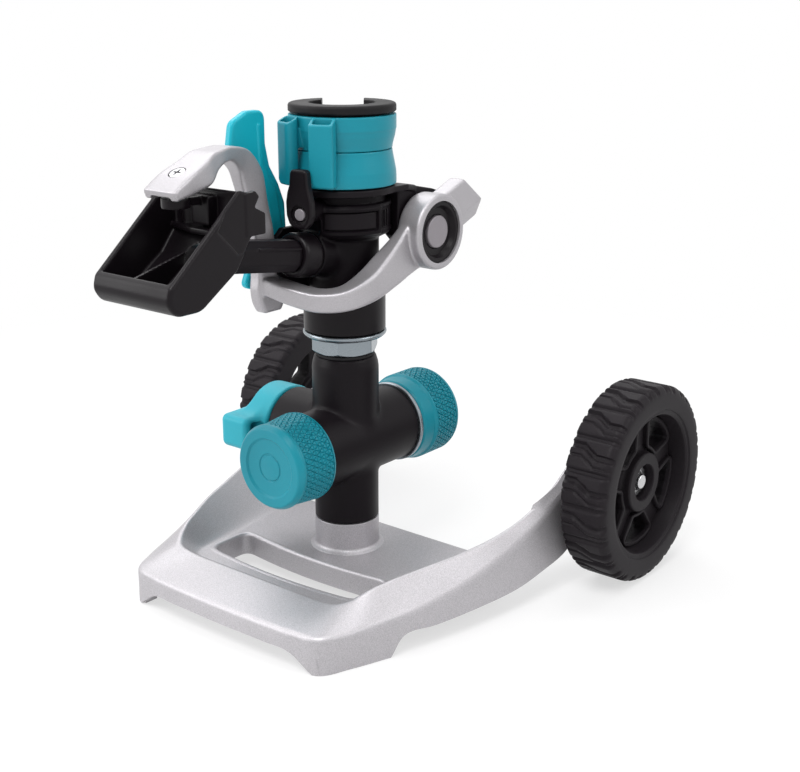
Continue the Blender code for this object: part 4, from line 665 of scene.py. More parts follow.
def slot_outline(grow):
    """The hand slot, bowed forward in its middle, smoothed by cutting its corners twice."""
    half = SLOT_HALF_LENGTH + grow
    front, back = [], []
    for share in np.linspace(-1, 1, 9):
        bow = SLOT_BOW * (1 - share * share)
        front.append((share * half, SLOT_FRONT_Y + SLOT_BOW - bow - grow))
        back.append((-share * half, SLOT_BACK_Y + SLOT_BOW - bow + grow))
    return softened(np.array(rounded(front + back, SLOT_CORNER + grow, 6)))


def slot_lip():
    """The slot's wall, with a soft raised lip round the deck's opening."""
    deck, foot = DECK_Z, SLOT_WALL_LOW_Z
    profile = [
        (3.4, deck - 0.1), (2.8, deck + 0.12), (2.0, deck + 0.32), (1.2, deck + 0.3), (0.5, deck - 0.05),
        (0.1, deck - 0.7), (0.0, deck - 1.6), (0.2, foot + 0.6), (0.8, foot), (2.4, foot),
        (3.0, foot + 0.6), (3.2, deck - 2.0),
    ]
    return surface(layered([(slot_outline(grow), height) for grow, height in profile]))


def boss():
    wall, top, deck = BOSS_RADIUS, BOSS_TOP_Z, DECK_Z
    bore, roof = wall - WALL, top - 3.5
    profile = [
        (wall + 3.0, deck - 0.4), (wall + 2.4, deck + 0.1), (wall + 1.6, deck + 0.55),
        (wall + 0.9, deck + 0.9), (wall + 0.35, deck + 1.5), (wall, deck + 2.4), (wall, top - 0.7),
        (wall - 0.2, top - 0.2), (wall - 0.7, top), (4.3, top), (4.3, roof), (bore, roof), (bore, deck - 5),
        (bore + 0.6, deck - 5.6), (bore + 2.4, deck - 5.6), (wall, deck - 5), (wall + 2.0, deck - WALL),
    ]
    return lathe(profile, steps=128)


def build_base():
    shell = build_base_shell()
    floor = slab([(-150, -150), (150, -150), (150, 150), (-150, 150)], -20, 0, edge=NO_EDGE)
    slot = slab(slot_outline(1.6), SLOT_WALL_LOW_Z - 12, CREASE_Z + 20, edge=NO_EDGE)
    bore = rod(BOSS_RADIUS - WALL + 1, -2, DECK_Z + 5, edge=NO_EDGE)
    shell = cut(shell, floor, slot, bore)
    parts = [shell, slot_lip(), boss()]
    corner = [(55, -89.2), (58.8, -89.45), (60.55, -88.35), (62.6, -85.6), (62, -82), (55, -82)]
    for side in (-1, 1):
        outline = [(side * x, y) for x, y in corner][::side]
        parts.append(slab(outline, 0.1, 14, edge=0.3))
        ends = sorted((side * 83.0, side * 97.7))
        parts.append(rod(8.75, *ends, axis="X", centre=AXLE_LINE, edge=1.2))
    add_piece("base_shell", merged(*parts), "silver_cast", "base", "base_casting")


# Wheels

WHEEL_RADIUS = 51.0
WHEEL_INNER_X = 98.0
WHEEL_OUTER_X = 124.2
RIM_RADIUS = 36.0
HUB_RADIUS = 15.5
HUB_RECESS_RADIUS = 9.0
TREAD_PERIODS = 18
STEPS_PER_PERIOD = 26
SPOKES = 5
STUB_RADIUS = 4.75
STUB_TIP_RADIUS = 3.9
STUB_START_X = 86.0
STUB_END_X = WHEEL_OUTER_X - 6.7


def tread_relief(radius, height, angle):
    """Grooves across the tread: one straight, then two that jog sideways in the middle of the width."""
    middle = (WHEEL_INNER_X + WHEEL_OUTER_X) / 2
    across = (np.abs(height) - middle) / (WHEEL_OUTER_X - WHEEL_INNER_X) * 2
    jog = 0.26 * (np.clip((across + 0.3) / 0.6, 0, 1) - 0.5)
    phase = angle * TREAD_PERIODS / FULL

    def groove(shift, width, depth):
        away = np.abs((phase - shift + 0.5) % 1 - 0.5)
        return depth * np.clip((width - away) / (0.35 * width), 0, 1)

    depth = np.maximum(groove(0.0, 0.085, 1.2), groove(0.40 + jog, 0.10, 1.6))
    depth = np.maximum(depth, groove(0.69 + jog, 0.055, 0.7))
    shoulder = np.clip((radius - WHEEL_RADIUS + 3.6) / 1.6, 0, 1)
    return radius - depth * shoulder


def tyre(side):
    inner, outer, top, seat = WHEEL_INNER_X, WHEEL_OUTER_X, WHEEL_RADIUS, RIM_RADIUS
    profile = [
        (seat + 1.5, inner + 1.0), (top - 4.5, inner + 1.0), (top - 3.0, inner + 1.1),
        (top - 1.6, inner + 1.5), (top - 0.6, inner + 2.2), (top - 0.05, inner + 3.2),
    ]
    profile += [(top, x) for x in np.linspace(inner + 4.2, outer - 4.2, 19)]
    profile += [
        (top - 0.05, outer - 3.2), (top - 0.6, outer - 2.0), (top - 1.6, outer - 1.0),
        (top - 2.8, outer - 0.4), (top - 4.2, outer - 0.1), (top - 6.0, outer), (seat + 4.6, outer),
        (seat + 3.0, outer - 0.3), (seat + 2.6, outer - 0.9), (seat + 2.1, outer - 1.0),
        (seat + 1.2, outer - 1.0), (seat + 0.3, outer - 1.6), (seat - 0.1, outer - 2.6),
        (seat - 1.6, outer - 10.0), (seat - 1.6, inner + 10.0), (seat - 0.1, inner + 2.6),
        (seat + 0.5, inner + 1.4),
    ]
    placed = [(radius, side * x) for radius, x in profile]
    return lathe(placed, "X", AXLE_LINE, TREAD_PERIODS * STEPS_PER_PERIOD, tread_relief)


def window_outline(number, grow=0.0):
    """The opening between two spokes: a rounded wedge, as (y, z) round the wheel's centre."""
    middle = FULL * (number + 0.5) / SPOKES + math.pi / 2
    corners = []
    for radius, half, way in ((HUB_RADIUS + 3.5, 15, 1), (RIM_RADIUS - 3.4, 25, -1)):
        for share in np.linspace(-1, 1, 5):
            angle = middle + way * share * math.radians(half)
            corners.append((radius * math.cos(angle), radius * math.sin(angle)))
    return inset(softened(np.array(rounded(corners, 3.0, 5))), -grow)


def wheel_disc(side):
    """Hub, dished web with five windows, and a raised wall round each window."""
    inner, outer = WHEEL_INNER_X, WHEEL_OUTER_X
    web_low, web_high = inner + 9.0, outer - 10.5
    hub = [
        (5.3, inner, 0.4), (HUB_RADIUS - 3.5, inner, 0.8), (HUB_RADIUS - 1.0, web_low, 2.0),
        (RIM_RADIUS - 1.0, web_low, 0), (RIM_RADIUS - 1.0, web_high, 0), (HUB_RADIUS + 0.5, web_high, 2.5),
        (HUB_RADIUS, outer - 5.5, 1.4), (HUB_RECESS_RADIUS + 0.6, outer - 5.5, 0.8),
        (HUB_RECESS_RADIUS, outer - 12.0, 0.5), (5.3, outer - 12.0, 0.3),
    ]
    placed = [(radius, side * x, own) for radius, x, own in hub]
    disc = turned(placed, 1.0, "X", AXLE_LINE, 120)
    low, high = sorted((side * (web_low - 3), side * (web_high + 3)))
    outlines = [window_outline(number) for number in range(SPOKES)]
    windows = [slab(flat, low - 2, high + 2, "X", AXLE_LINE, edge=NO_EDGE) for flat in outlines]
    parts = [cut(disc, *windows)]
    foot, top = web_low - 1, web_high + 2.6
    wall = [(0.0, foot), (0.0, top - 0.5), (0.4, top), (1.4, top), (1.8, top - 0.5), (1.8, foot)]
    for number in range(SPOKES):
        loops = layered([(window_outline(number, grow), side * x) for grow, x in wall])
        parts.append(surface(loops @ TURN["X"].T + np.array(AXLE_LINE)))
    return merged(*parts)


def build_wheels():
    sides = ((1, "right"), (-1, "left"))
    for side, name in sides:
        whole, body = merged(tyre(side), wheel_disc(side)), f"wheel_{name[0]}"
        add_piece(f"treaded_wheel_{name}", whole, "black_tyre", body, f"wheel_{name}", crease=30)
    start, end, wide, tip = STUB_START_X, STUB_END_X, STUB_RADIUS, STUB_TIP_RADIUS
    profile = [
        (0, start, 0), (wide, start, 0.4), (wide, end - 3, 0.4), (tip, end - 2.6, 0.2), (tip, end, 1.2),
        (0, end, 0),
    ]
    for side, name in sides:
        placed = [(radius, side * x, own) for radius, x, own in profile]
        stub = lathe(rounded(placed, 0.4, closed=False), "X", AXLE_LINE, 48)
        add_piece(f"axle_end_{name}", stub, "steel", "base", f"axle_{name}")


# Manifold and what is screwed to it

PORT_Z = 74.5
PORT = (0, 0, PORT_Z)
GRIP_STEPS = 660
GRIP_KNURLS = 44


def knurled(low, high, rows, around, depth, least):
    """Rows of small raised triangles between two heights, on whatever lies beyond a radius."""

    def relief(radius, height, angle):
        level = np.clip((height - low) / (high - low) * rows, 0, rows - 1e-6)
        up = level % 1
        turn = angle / FULL * around + 0.5 * (np.floor(level) % 2)
        side = np.abs(turn % 1 - 0.5) * 2
        raised = np.maximum(np.minimum(up, 1 - up - side), np.minimum(1 - up, up - 1 + side))
        within = (height > low) & (height < high) & (radius > least)
        return np.where(within, radius - depth * (1 - np.clip(raised / 0.2, 0, 1)), radius)

    return relief


def build_manifold():
    riser = [
        (-5, 34.5), (15.9, 34.5), (16.2, 34.9), (16.2, 72), (16.6, 76), (16.6, 113), (16.3, 115.4),
        (15.4, 118.4), (14.8, 119.2), (-5, 119.2),
    ]

    def distance(points):
        barrel = cylinder(points, "Y", -31.5, 34.6, 19.5, 0.7, PORT)
        branch = cylinder(points, "X", -36, 0, 20, 0.6, PORT)
        thread = cylinder(points, "Y", -49, -20, 13.2, 0.5, PORT)
        whole = joined(joined(barrel, branch, 1.8), spun(points, riser), 2.4)
        return joined(whole, thread, 0.5)

    body = skin(distance, (-38, -51, 33), (22, 37, 121), 0.7)
    add_piece("manifold_body", body, "black_satin", "base", "manifold")

    flange = rounded([
        (20.4, 34.95), (20.9, 35.3), (20.9, 36.5), (20.4, 36.9), (9.2, 36.9), (9.2, 46), (7.7, 46),
        (7.7, 37), (7.7, 34.95),
    ], 0.2, 2)
    add_piece("tail_flange", lathe(flange, "Y", PORT, 128), "zinc", "base", "inlet_tail")


def build_cap_and_swivel():
    face, back = -56.0, -32.0
    profile = [(13.7, back, 0.5), (21.7, back, 0.7), (22.0, back - 1.4, 0.3)]
    profile += [(22.0 - 0.023 * step, y, 0) for step, y in enumerate(np.linspace(back - 1.6, -51.4, 73))]
    profile += [
        (21.0, -52.2, 0.6), (20.9, -53.4, 1.2), (19.4, face, 1.6), (15.0, face, 0.5),
        (14.0, face + 0.9, 0.6), (7.2, face + 1.15, 0.2), (6.9, face + 1.55, 0.2), (6.3, face + 1.55, 0.2),
        (6.0, face + 1.1, 0.2), (0.02, face + 1.0, 0), (0.02, face + 3.4, 0), (13.7, face + 3.4, 0.4),
    ]
    knurls = knurled(-50.8, back - 1.4, 7, GRIP_KNURLS, 0.9, 19.4)
    cap = turned(profile, 0.5, "Y", PORT, GRIP_STEPS, knurls)
    add_piece("cap_grip", cap, "teal", "cap", "front_cap", crease=30)

    near, far = 37.4, 66.4
    profile = [
        (9.6, near, 0.3), (20.4, near, 0.6), (21.2, near + 0.9, 0.6), (21.9, near + 7.6, 1.0),
        (22.9, near + 8.8, 0.6),
    ]
    profile += [(23.0, y, 0) for y in np.linspace(near + 9.2, far - 3.4, 66)]
    profile += [
        (22.6, far - 2.0, 0.8), (21.2, far, 1.2), (14.6, far, 0.5), (13.5, far - 1.4, 0.4),
        (13.5, near + 6.0, 0.4), (9.6, near + 6.0, 0.3),
    ]
    knurls = knurled(near + 9.6, far - 3.8, 6, GRIP_KNURLS, 0.95, 21.6)
    grip = turned(profile, 0.5, "Y", PORT, GRIP_STEPS, knurls)
    add_piece("swivel_grip", grip, "teal", "swivel", "hose_swivel", crease=30)


def build_lever():
    def distance(points):
        disc = cylinder(points, "X", -52, -36.5, 20.5, 1.6, PORT)
        paddle = block(points, (-60, -30, 65.8), (-41, 2, 83.2), 3.4)
        pocket = block(points, (-50, -26.2, 68.2), (-38, -19.4, 80.4), 1.6)
        well = cylinder(points, "X", -54, -49.5, 4.5, 0.5, PORT)
        return carved(carved(joined(disc, paddle, 7), pocket, 1.2), well, 0.4)

    lever = skin(distance, (-62, -32, 52), (-35, 22, 97), 0.6)
    add_piece("flow_lever", lever, "teal_light", "valve", "valve_lever")


def build_adapter():
    corner = 29.5 / math.sqrt(3)
    hexagon = [(corner * math.cos(k * math.pi / 3), corner * math.sin(k * math.pi / 3)) for k in range(6)]
    flange = [
        (-5, 128.6), (16.4, 128.6), (19.2, 129.3), (20.3, 130.3), (20.6, 131.0), (20.5, 131.6),
        (20.1, 132.0), (-5, 132.0),
    ]

    def distance(points):
        nut = extruded(points, hexagon, 121, 129.6, edge=0.3)
        chamfer = spun(points, [(-5, 121), (14.4, 121), (17.2, 122.7), (17.2, 140), (-5, 140)])
        return joined(shared(nut, chamfer, 0.3), spun(points, flange), 0.5)

    nut = skin(distance, (-22, -22, 119.5), (22, 22, 133.5), 0.45)
    add_piece("hex_nut", nut, "zinc", "base", "hex_adapter")
    profile = [
        (10.9, 132.3, 0.3), (19.3, 132.3, 0.3), (20.1, 133.0, 0.3), (20.1, 150.6, 0.8), (19.2, 152.0, 0.6),
        (11.4, 152.0, 0.5), (10.9, 151.4, 0.3),
    ]
    add_piece("sleeve", turned(profile, 0.5, steps=144), "black_gloss", "base", "bearing_sleeve")


# Arc setting drum

def build_drum():
    upper = [
        (21.1, 220.5), (23.3, 220.5), (23.6, 220.8), (23.7, 222.0), (24.2, 224.0), (24.9, 226.6),
        (25.3, 229.2), (25.5, 229.5), (25.5, 235.9), (25.2, 236.3), (21.1, 236.3),
    ]
    lower = [
        (21.1, 203.8), (25.2, 203.8), (25.5, 204.1), (25.5, 207.6), (25.3, 210.2), (24.7, 213.4),
        (24.1, 216.4), (23.7, 218.6), (23.6, 219.9), (23.3, 220.2), (21.1, 220.2),
    ]
    tab_low, tab_top = 205.3, 236.3

    def tab_distance(points, degrees, half, corner, stem_low, stem_high):
        near = turned_back(points, degrees)
        outline = rounded([(-half, -32.4), (half, -32.4), (half, -26.1), (-half, -26.1)], corner)
        tab = extruded(near, outline, tab_low, tab_top, edge=0.5)
        slant = (tab_low + 3.2 - 0.75 * (near[:, 0] + 6.5) - near[:, 2]) * 0.8
        slope = (near[:, 2] - tab_top - 0.5 * (near[:, 1] + 26.5)) * 0.89
        tab = shared(shared(tab, slant, 0.5), slope, 0.5)
        stem = block(near, (1.5 - half, -27, stem_low), (half - 1.5, -20, stem_high), 0.4)
        wide = half - 1.5
        room = [(-wide, -31.0), (wide, -31.0), (wide, -26.9), (-wide, -26.9)]
        room = rounded(room, max(corner - 1.5, 0.6))
        return joined(tab, stem, 0.8), extruded(near, room, tab_low + 2, tab_top + 4, edge=0.3)

    def ring_distance(points, profile, tab):
        solid, room = tab_distance(points, *tab)
        bore = 21.1 - np.hypot(points[:, 0], points[:, 1])
        return carved(shared(joined(spun(points, profile), solid, 0.6), bore, 0.2), room, 0.3)

    for name, profile, tab in (
        ("upper", upper, (-18, 5.9, 2.9, 222, 231)),
        ("lower", lower, (23, 5.8, 1.0, 206, 219)),
    ):
        bounds = ((-34, -34, 202), (27, 27, 238)) if name == "upper" else ((-27, -34, 202), (34, 27, 238))
        ring = skin(lambda points: ring_distance(points, profile, tab), *bounds, 0.5)
        add_piece(f"{name}_ring_shell", ring, "teal", f"{name}_ring", f"{name}_arc_ring")

    profile = [
        (-5, 213), (18.2, 213), (18.2, 236.6), (15.5, 238.2), (15.5, 242), (30, 242), (30, 250), (-5, 250),
    ]
    outer = [
        (-5, 203.6), (20.2, 203.6), (20.6, 204), (20.6, 237.2), (24.9, 237.2), (25.5, 237.8), (25.5, 240.2),
        (25.1, 241.0), (24.3, 241.4), (-5, 241.4),
    ]

    def core_distance(points):
        near = turned_back(points, 40)
        notch = block(near, (-10, 5, 237.5), (10, 40, 246), 0.6)
        return carved(carved(spun(points, outer), spun(points, profile), 0.5), notch, 0.5)

    core = skin(core_distance, (-27, -27, 202), (27, 27, 243), 0.5)
    add_piece("drum_crown", core, "grey_crown", "base", "drum_core")


# Turning head

JET_RISE = math.radians(8)
JET_ORIGIN = np.array((0, 0, 169.0))
JET_AXES = np.array(
    ((1, 0, 0), (0, math.sin(JET_RISE), math.cos(JET_RISE)), (0, -math.cos(JET_RISE), math.sin(JET_RISE)))
)
TRIP_DEGREES = 9.0
TRIP_Z = 193.5


def to_jet(points):
    """Points as across, up and along the jet."""
    return (points - JET_ORIGIN) @ JET_AXES.T


def arc_block(points, inner, outer, low, high, half_degrees, edge, middle):
    """A curved plate round Z, its middle at an angle from -Y towards +X, in degrees."""
    radius = np.hypot(points[:, 0], points[:, 1])
    turn = np.arctan2(points[:, 0], -points[:, 1]) - math.radians(middle)
    turn = (turn + math.pi) % FULL - math.pi
    across = np.abs(turn) * outer - math.radians(half_degrees) * outer
    away = np.column_stack((past(radius, inner, outer), across, past(points[:, 2], low, high)))
    return box_rim(away + edge, edge)


def build_head_body():
    neck = [
        (-5, 152.8), (15.2, 152.8), (17, 154.4), (17, 177.4), (17.6, 178.4), (21.9, 180.6), (23, 181.9),
        (23, 183.2), (22.5, 183.6), (22.5, 193.4), (23, 193.8), (23, 195.3), (22.4, 196), (20.3, 196),
        (20.3, 199.3), (-5, 199.3),
    ]
    ear = [(-36, 167), (-33, 163), (-28.5, 158), (-25.5, 153), (-4, 153), (-4, 184), (-28, 184), (-36, 177)]
    ear = rounded(ear, 2.5)

    def distance(points):
        body = spun(points, neck)
        frame_plate = arc_block(points, 20, 23.9, 181.9, 194.9, 39, 0.9, 52)
        port = cylinder(to_jet(points), "Z", 0, 30, 8, 0.5)
        boss = cylinder(turned_back(points, TRIP_DEGREES), "Y", -33.3, -18, 4.6, 0.4, (0, 0, TRIP_Z))
        collar_seat = cylinder(to_jet(points), "Z", 0, 25.2, 10.4, 0.6)
        flap_ear = extruded(points, ear, -16.2, -13.2, "X", 0.4)
        body = joined(joined(body, frame_plate, 0.8), joined(port, flap_ear, 0.6), 1.4)
        body = joined(body, collar_seat, 2.4)
        body = joined(body, boss, 1.2)
        pocket = arc_block(points, 22.2, 27, 183.9, 192.9, 34.5, 0.8, 51)
        body = carved(body, pocket, 0.4)
        for degrees in (94, 100, 106):
            body = carved(body, arc_block(points, 21.4, 27, 184.5, 192.5, 1.6, 0.3, degrees), 0.3)
        return body

    body = skin(distance, (-25, -37, 151), (26, 25, 201), 0.55)
    add_piece("head_shell", body, "black_dark", "head", "head_body")

    def cover_distance(points):
        return arc_block(points, 21.4, 22.9, 184.4, 192.4, 33.5, 0.6, 51)

    cover = skin(cover_distance, (0, -25, 183), (25, 4, 194), 0.4)
    add_piece("side_cover", cover, "black_satin", "head", "side_panel")


def build_bracket():
    tongue = rounded([(6, 10), (16, -6), (24, -3), (24, 20), (20.8, 30), (6, 30)], 3)
    web = rounded([
        (16, 201.5), (16, 178), (25.5, 169), (38.5, 169), (51.5, 184), (52.4, 192.4), (49, 195.9),
        (43, 197.8), (34, 199.7), (26, 201.4),
    ], 1.5)

    def distance(points):
        plate = cylinder(points, "Z", 199.7, 203.1, 25, 0.8)
        slope = points - (0, 0, 1) * np.maximum(points[:, 1:2] - 20, 0) * -0.2
        arm = extruded(slope, tongue, 199.9, 202.7, edge=0.5)
        return joined(joined(plate, arm, 0.8), extruded(points, web, 12.2, 20.9, "X", 0.8), 1.2)

    bracket = skin(distance, (-27, -27, 167), (27, 55, 205), 0.6)
    add_piece("plate_and_web", bracket, "black_satin", "head", "pivot_bracket")


def build_trip():
    inner, outer = 33.64, 38.14
    side = rounded([
        (187, -3.4), (189.2, -5.6), (193, -7.0), (199, -7.2), (203.5, -6.4), (207, -5.2), (214, -4.6),
        (214, 4.4), (207, 4.8), (203, 5.6), (199, 6.6), (193, 6.8), (189.4, 5.4), (187, 3.2),
    ], 2.4)

    def distance(points):
        near = turned_back(points, TRIP_DEGREES)
        lever = extruded(near, side, -outer, -inner, "Y", 1.1)
        ring = cylinder(near, "Y", -outer - 2, -outer + 1.1, 4.4, 0.3, (0, 0, TRIP_Z))
        hole = cylinder(near, "Y", -outer - 2, -inner + 2, 3.2, 0.3, (0, 0, TRIP_Z))
        return carved(carved(lever, ring, 0.3), hole, 0.3)

    lever = skin(distance, (-4, -41, 182), (15, -30, 216), 0.4)
    add_piece("trip_dog", lever, "black_gloss", "trip", "trip_lever")
    pin = rod(2.8, -outer + 0.5, -14, "Y", (0, 0, TRIP_Z), 0.7, 48)
    add_piece("trip_pivot", swung(pin, math.radians(TRIP_DEGREES), "Z"), "grey_pin", "head", "trip_pin")


def build_nozzle():
    wide, tall = 7.2, 7.2
    side = rounded([
        (-wide, -tall * 0.5), (-wide * 0.6, -tall), (wide * 0.6, -tall), (wide, -tall * 0.5),
        (wide, tall * 0.45), (wide * 0.55, tall), (-wide * 0.55, tall), (-wide, tall * 0.45),
    ], 0.8, 3)

    def barrel_distance(points):
        near = to_jet(points)
        barrel = extruded(near, side, 37.8, 82, "Z", 0.6)
        neck = cylinder(near, "Z", 30.3, 40, 7.4, 0.3)
        rib = block(near, (-7.2, 3.0, 38), (7.6, 4.2, 66), 0.4)
        bore = spun(near, [(-5, 30), (4.5, 30), (4.5, 68), (2.9, 78), (2.9, 90), (-5, 90)])
        return carved(joined(joined(barrel, neck, 0.5), rib, 0.5), bore, 0.3)

    barrel = skin(barrel_distance, (-9, -86, 163), (9, -27, 191), 0.5)
    add_piece("nozzle_barrel", barrel, "black_satin", "head", "nozzle")
    collar = [
        (8.3, 25.5), (9.2, 25.5), (10.1, 26.1), (10.5, 27.4), (10.5, 35.6), (10.2, 36.8), (9.3, 37.5),
        (7.8, 37.5), (7.8, 32.3), (8.3, 32.2),
    ]

    nut = skin(lambda points: spun(to_jet(points), collar), (-12, -40, 160), (12, -22, 188), 0.45)
    add_piece("nozzle_collar", nut, "black_gloss", "head", "nozzle_nut")


def build_flap():
    pivot = joint_point("flap_tilt")
    side = [
        (-20, -13), (-14, -15.5), (-11, -8), (4, -6), (7, 0), (8.8, 12), (8.2, 23.5), (4.2, 33),
        (-1.2, 41.5), (-3.6, 52), (-3.6, 67.4), (-15, 67.4), (-24.6, 63), (-26.6, 52), (-22.5, 44),
        (-15, 28), (-11, 8), (-16, -4),
    ]
    side = rounded([(y + pivot.y, z + pivot.z) for y, z in side], 5.0, 5)
    rib = [(-30, 178), (-24.5, 178), (-28.5, 200), (-36.5, 214), (-38, 233), (-40, 233), (-39, 213)]
    rib = rounded(rib, 1.0, 3)

    def distance(points):
        blade = extruded(points, side, -20.5, -16.5, "X", 1.2)
        hole = cylinder(points, "X", -24, -14, 2.3, 0.3, (0, pivot.y, pivot.z))
        hollow = extruded(points, inset(side, 2.6)[::2], -23, -19.3, "X", 0.4)
        blade = joined(blade, extruded(points, rib, -19, -16.1, "X", 0.4), 0.8)
        return carved(carved(blade, hollow, 0.4), hole, 0.3)

    blade = skin(distance, (-22, -59, 155), (-14, -21, 241), 0.5)
    add_piece("flap_blade", blade, "teal_deep", "flap", "diffuser_flap")


# Swing arm and scoop

SCREW_Y = -104.0
SCREW_Z = 219.5
SCREW_LEAN = math.radians(24)
HUB_INNER_X = 21.5
HUB_OUTER_X = 34.5


def build_arm():
    pivot = joint_point("arm_swing")
    axis_line = (0, pivot.y, pivot.z)
    band = [
        ((25.4, 24, 175), (2.9, 0, 0), (0, -6, 11.5)),
        ((25.6, 12, 169.3), (3.9, 0, 0), (0, -4, 9.2)),
        ((26.2, 0, 164.3), (4.9, 0.4, 0), (0, -3, 7.6)),
        ((25.6, -14, 158.4), (6, -1.4, 0), (0, -1.2, 6.2)),
        ((21, -24.5, 154.4), (5.6, -4.2, 0), (0, -0.6, 5)),
        ((12.5, -32, 153.6), (3.8, -6, 0), (0, 0, 4.6)),
        ((3, -37.5, 156), (2.2, -6.4, 0), (0.8, 0, 4.2)),
        ((-5, -41, 158.6), (1.4, -6.2, 0), (0.8, 0, 4)),
        ((-11.3, -43, 160.2), (0.8, -6, 0), (0.8, 0, 3.8)),
    ]
    # Centre, half width along X, and half height out along Y and up.
    leg = [
        (-11.3, -41, 147, 3.4, -5.5, 0), (-11.3, -41.2, 151.5, 3.4, -8, 0),
        (-11.3, -42.8, 158, 3.4, -7.6, 0), (-11.3, -43.8, 165, 3.4, -6, 0),
        (-11.3, -45.2, 183, 3.4, -6.2, -0.4), (-11.3, -49.2, 199, 3.4, -6.6, -0.8),
        (-10.9, -52.6, 211, 3.6, -6.7, -2.4), (-9.8, -59, 219.5, 4.4, -3.6, -4.0),
        (-7.2, -70, 223.7, 5.8, -0.2, -3.2), (-4.4, -79, 223.8, 7.0, 0.8, -3.1),
        (-2.8, -86, 222.3, 7.9, 1.4, -3.9), (-1.2, -92.5, 218.6, 8.9, 1.9, -4.9),
        (0, -104, 215, 9.9, 1.6, -4.0), (0, -114, 211.0, 9.8, 0.8, -2.1),
    ]
    leg = [((x, y, z), (wide, 0, 0), (0, out, up)) for x, y, z, wide, out, up in leg]
    tail = [
        (32, 190), (38.5, 196.2), (54.3, 202.3), (70, 190.6), (72, 181.5), (60, 177.4), (44.5, 173),
        (36, 170),
    ]
    weight = slab(rounded(tail, 2.0), 23.0, 32.0, "X", edge=1.0)
    flat = bmesh.ops.bisect_plane(
        weight,
        geom=weight.verts[:] + weight.edges[:] + weight.faces[:],
        plane_co=(32, 68.2, 190.7),
        plane_no=(0.875, 0.188, -0.445),
        clear_outer=True,
    )
    rim_edges = [item for item in flat["geom_cut"] if isinstance(item, bmesh.types.BMEdge)]
    bmesh.ops.contextual_create(weight, geom=rim_edges)
    hub = [(18.5, HUB_INNER_X), (18.5, HUB_OUTER_X), (12, HUB_OUTER_X), (12, HUB_INNER_X)]
    hub = lathe(rounded(hub, 1.2, 3), "X", axis_line)
    arm = fused(swept(band, 10, 0.3), swept(leg, 10, 0.3), weight, hub, voxel=0.6, smooth=5)
    screw_line = (0, SCREW_Y, 0)
    hollow = slab(rounded([(-6.4, -130), (6.4, -130), (6.4, -109), (-6.4, -109)], 2), 200, 210.9, edge=1.5)
    arm = cut(
        arm,
        rod(15.15, 10, 40, "X", axis_line, NO_EDGE, 96),
        rod(1.8, 200, 230, centre=screw_line, edge=NO_EDGE, steps=32),
        leaned(rod(4.0, 217.9, 230, centre=screw_line, edge=NO_EDGE, steps=48)),
        hollow,
    )
    add_piece("arm_casting", arm, "silver_arm", "arm", "swing_arm")

    low, high = HUB_INNER_X, HUB_OUTER_X - 1.0
    bush = [
        (6.3, low, 0.3), (15.0, low, 0.4), (15.0, high, 0.5), (12.9, high, 0.4), (11.4, high - 2.4, 0.4),
        (8.4, high - 2.4, 0.3), (8.4, high - 4.2, 0.3), (6.3, high - 4.2, 0.2),
    ]
    add_piece("arm_bearing", turned(bush, 0.4, "X", axis_line, 96), "black_gloss", "arm", "arm_bushing")
    head = rod(8.0, high - 3.4, high - 1.0, "X", axis_line, 0.8, 96)
    shank = rod(5.9, HUB_INNER_X - 4, high - 3.3, "X", axis_line, 0.3, 64)
    add_piece("pivot_pin_head", merged(head, shank), "grey_pin", "head", "arm_pivot_pin")


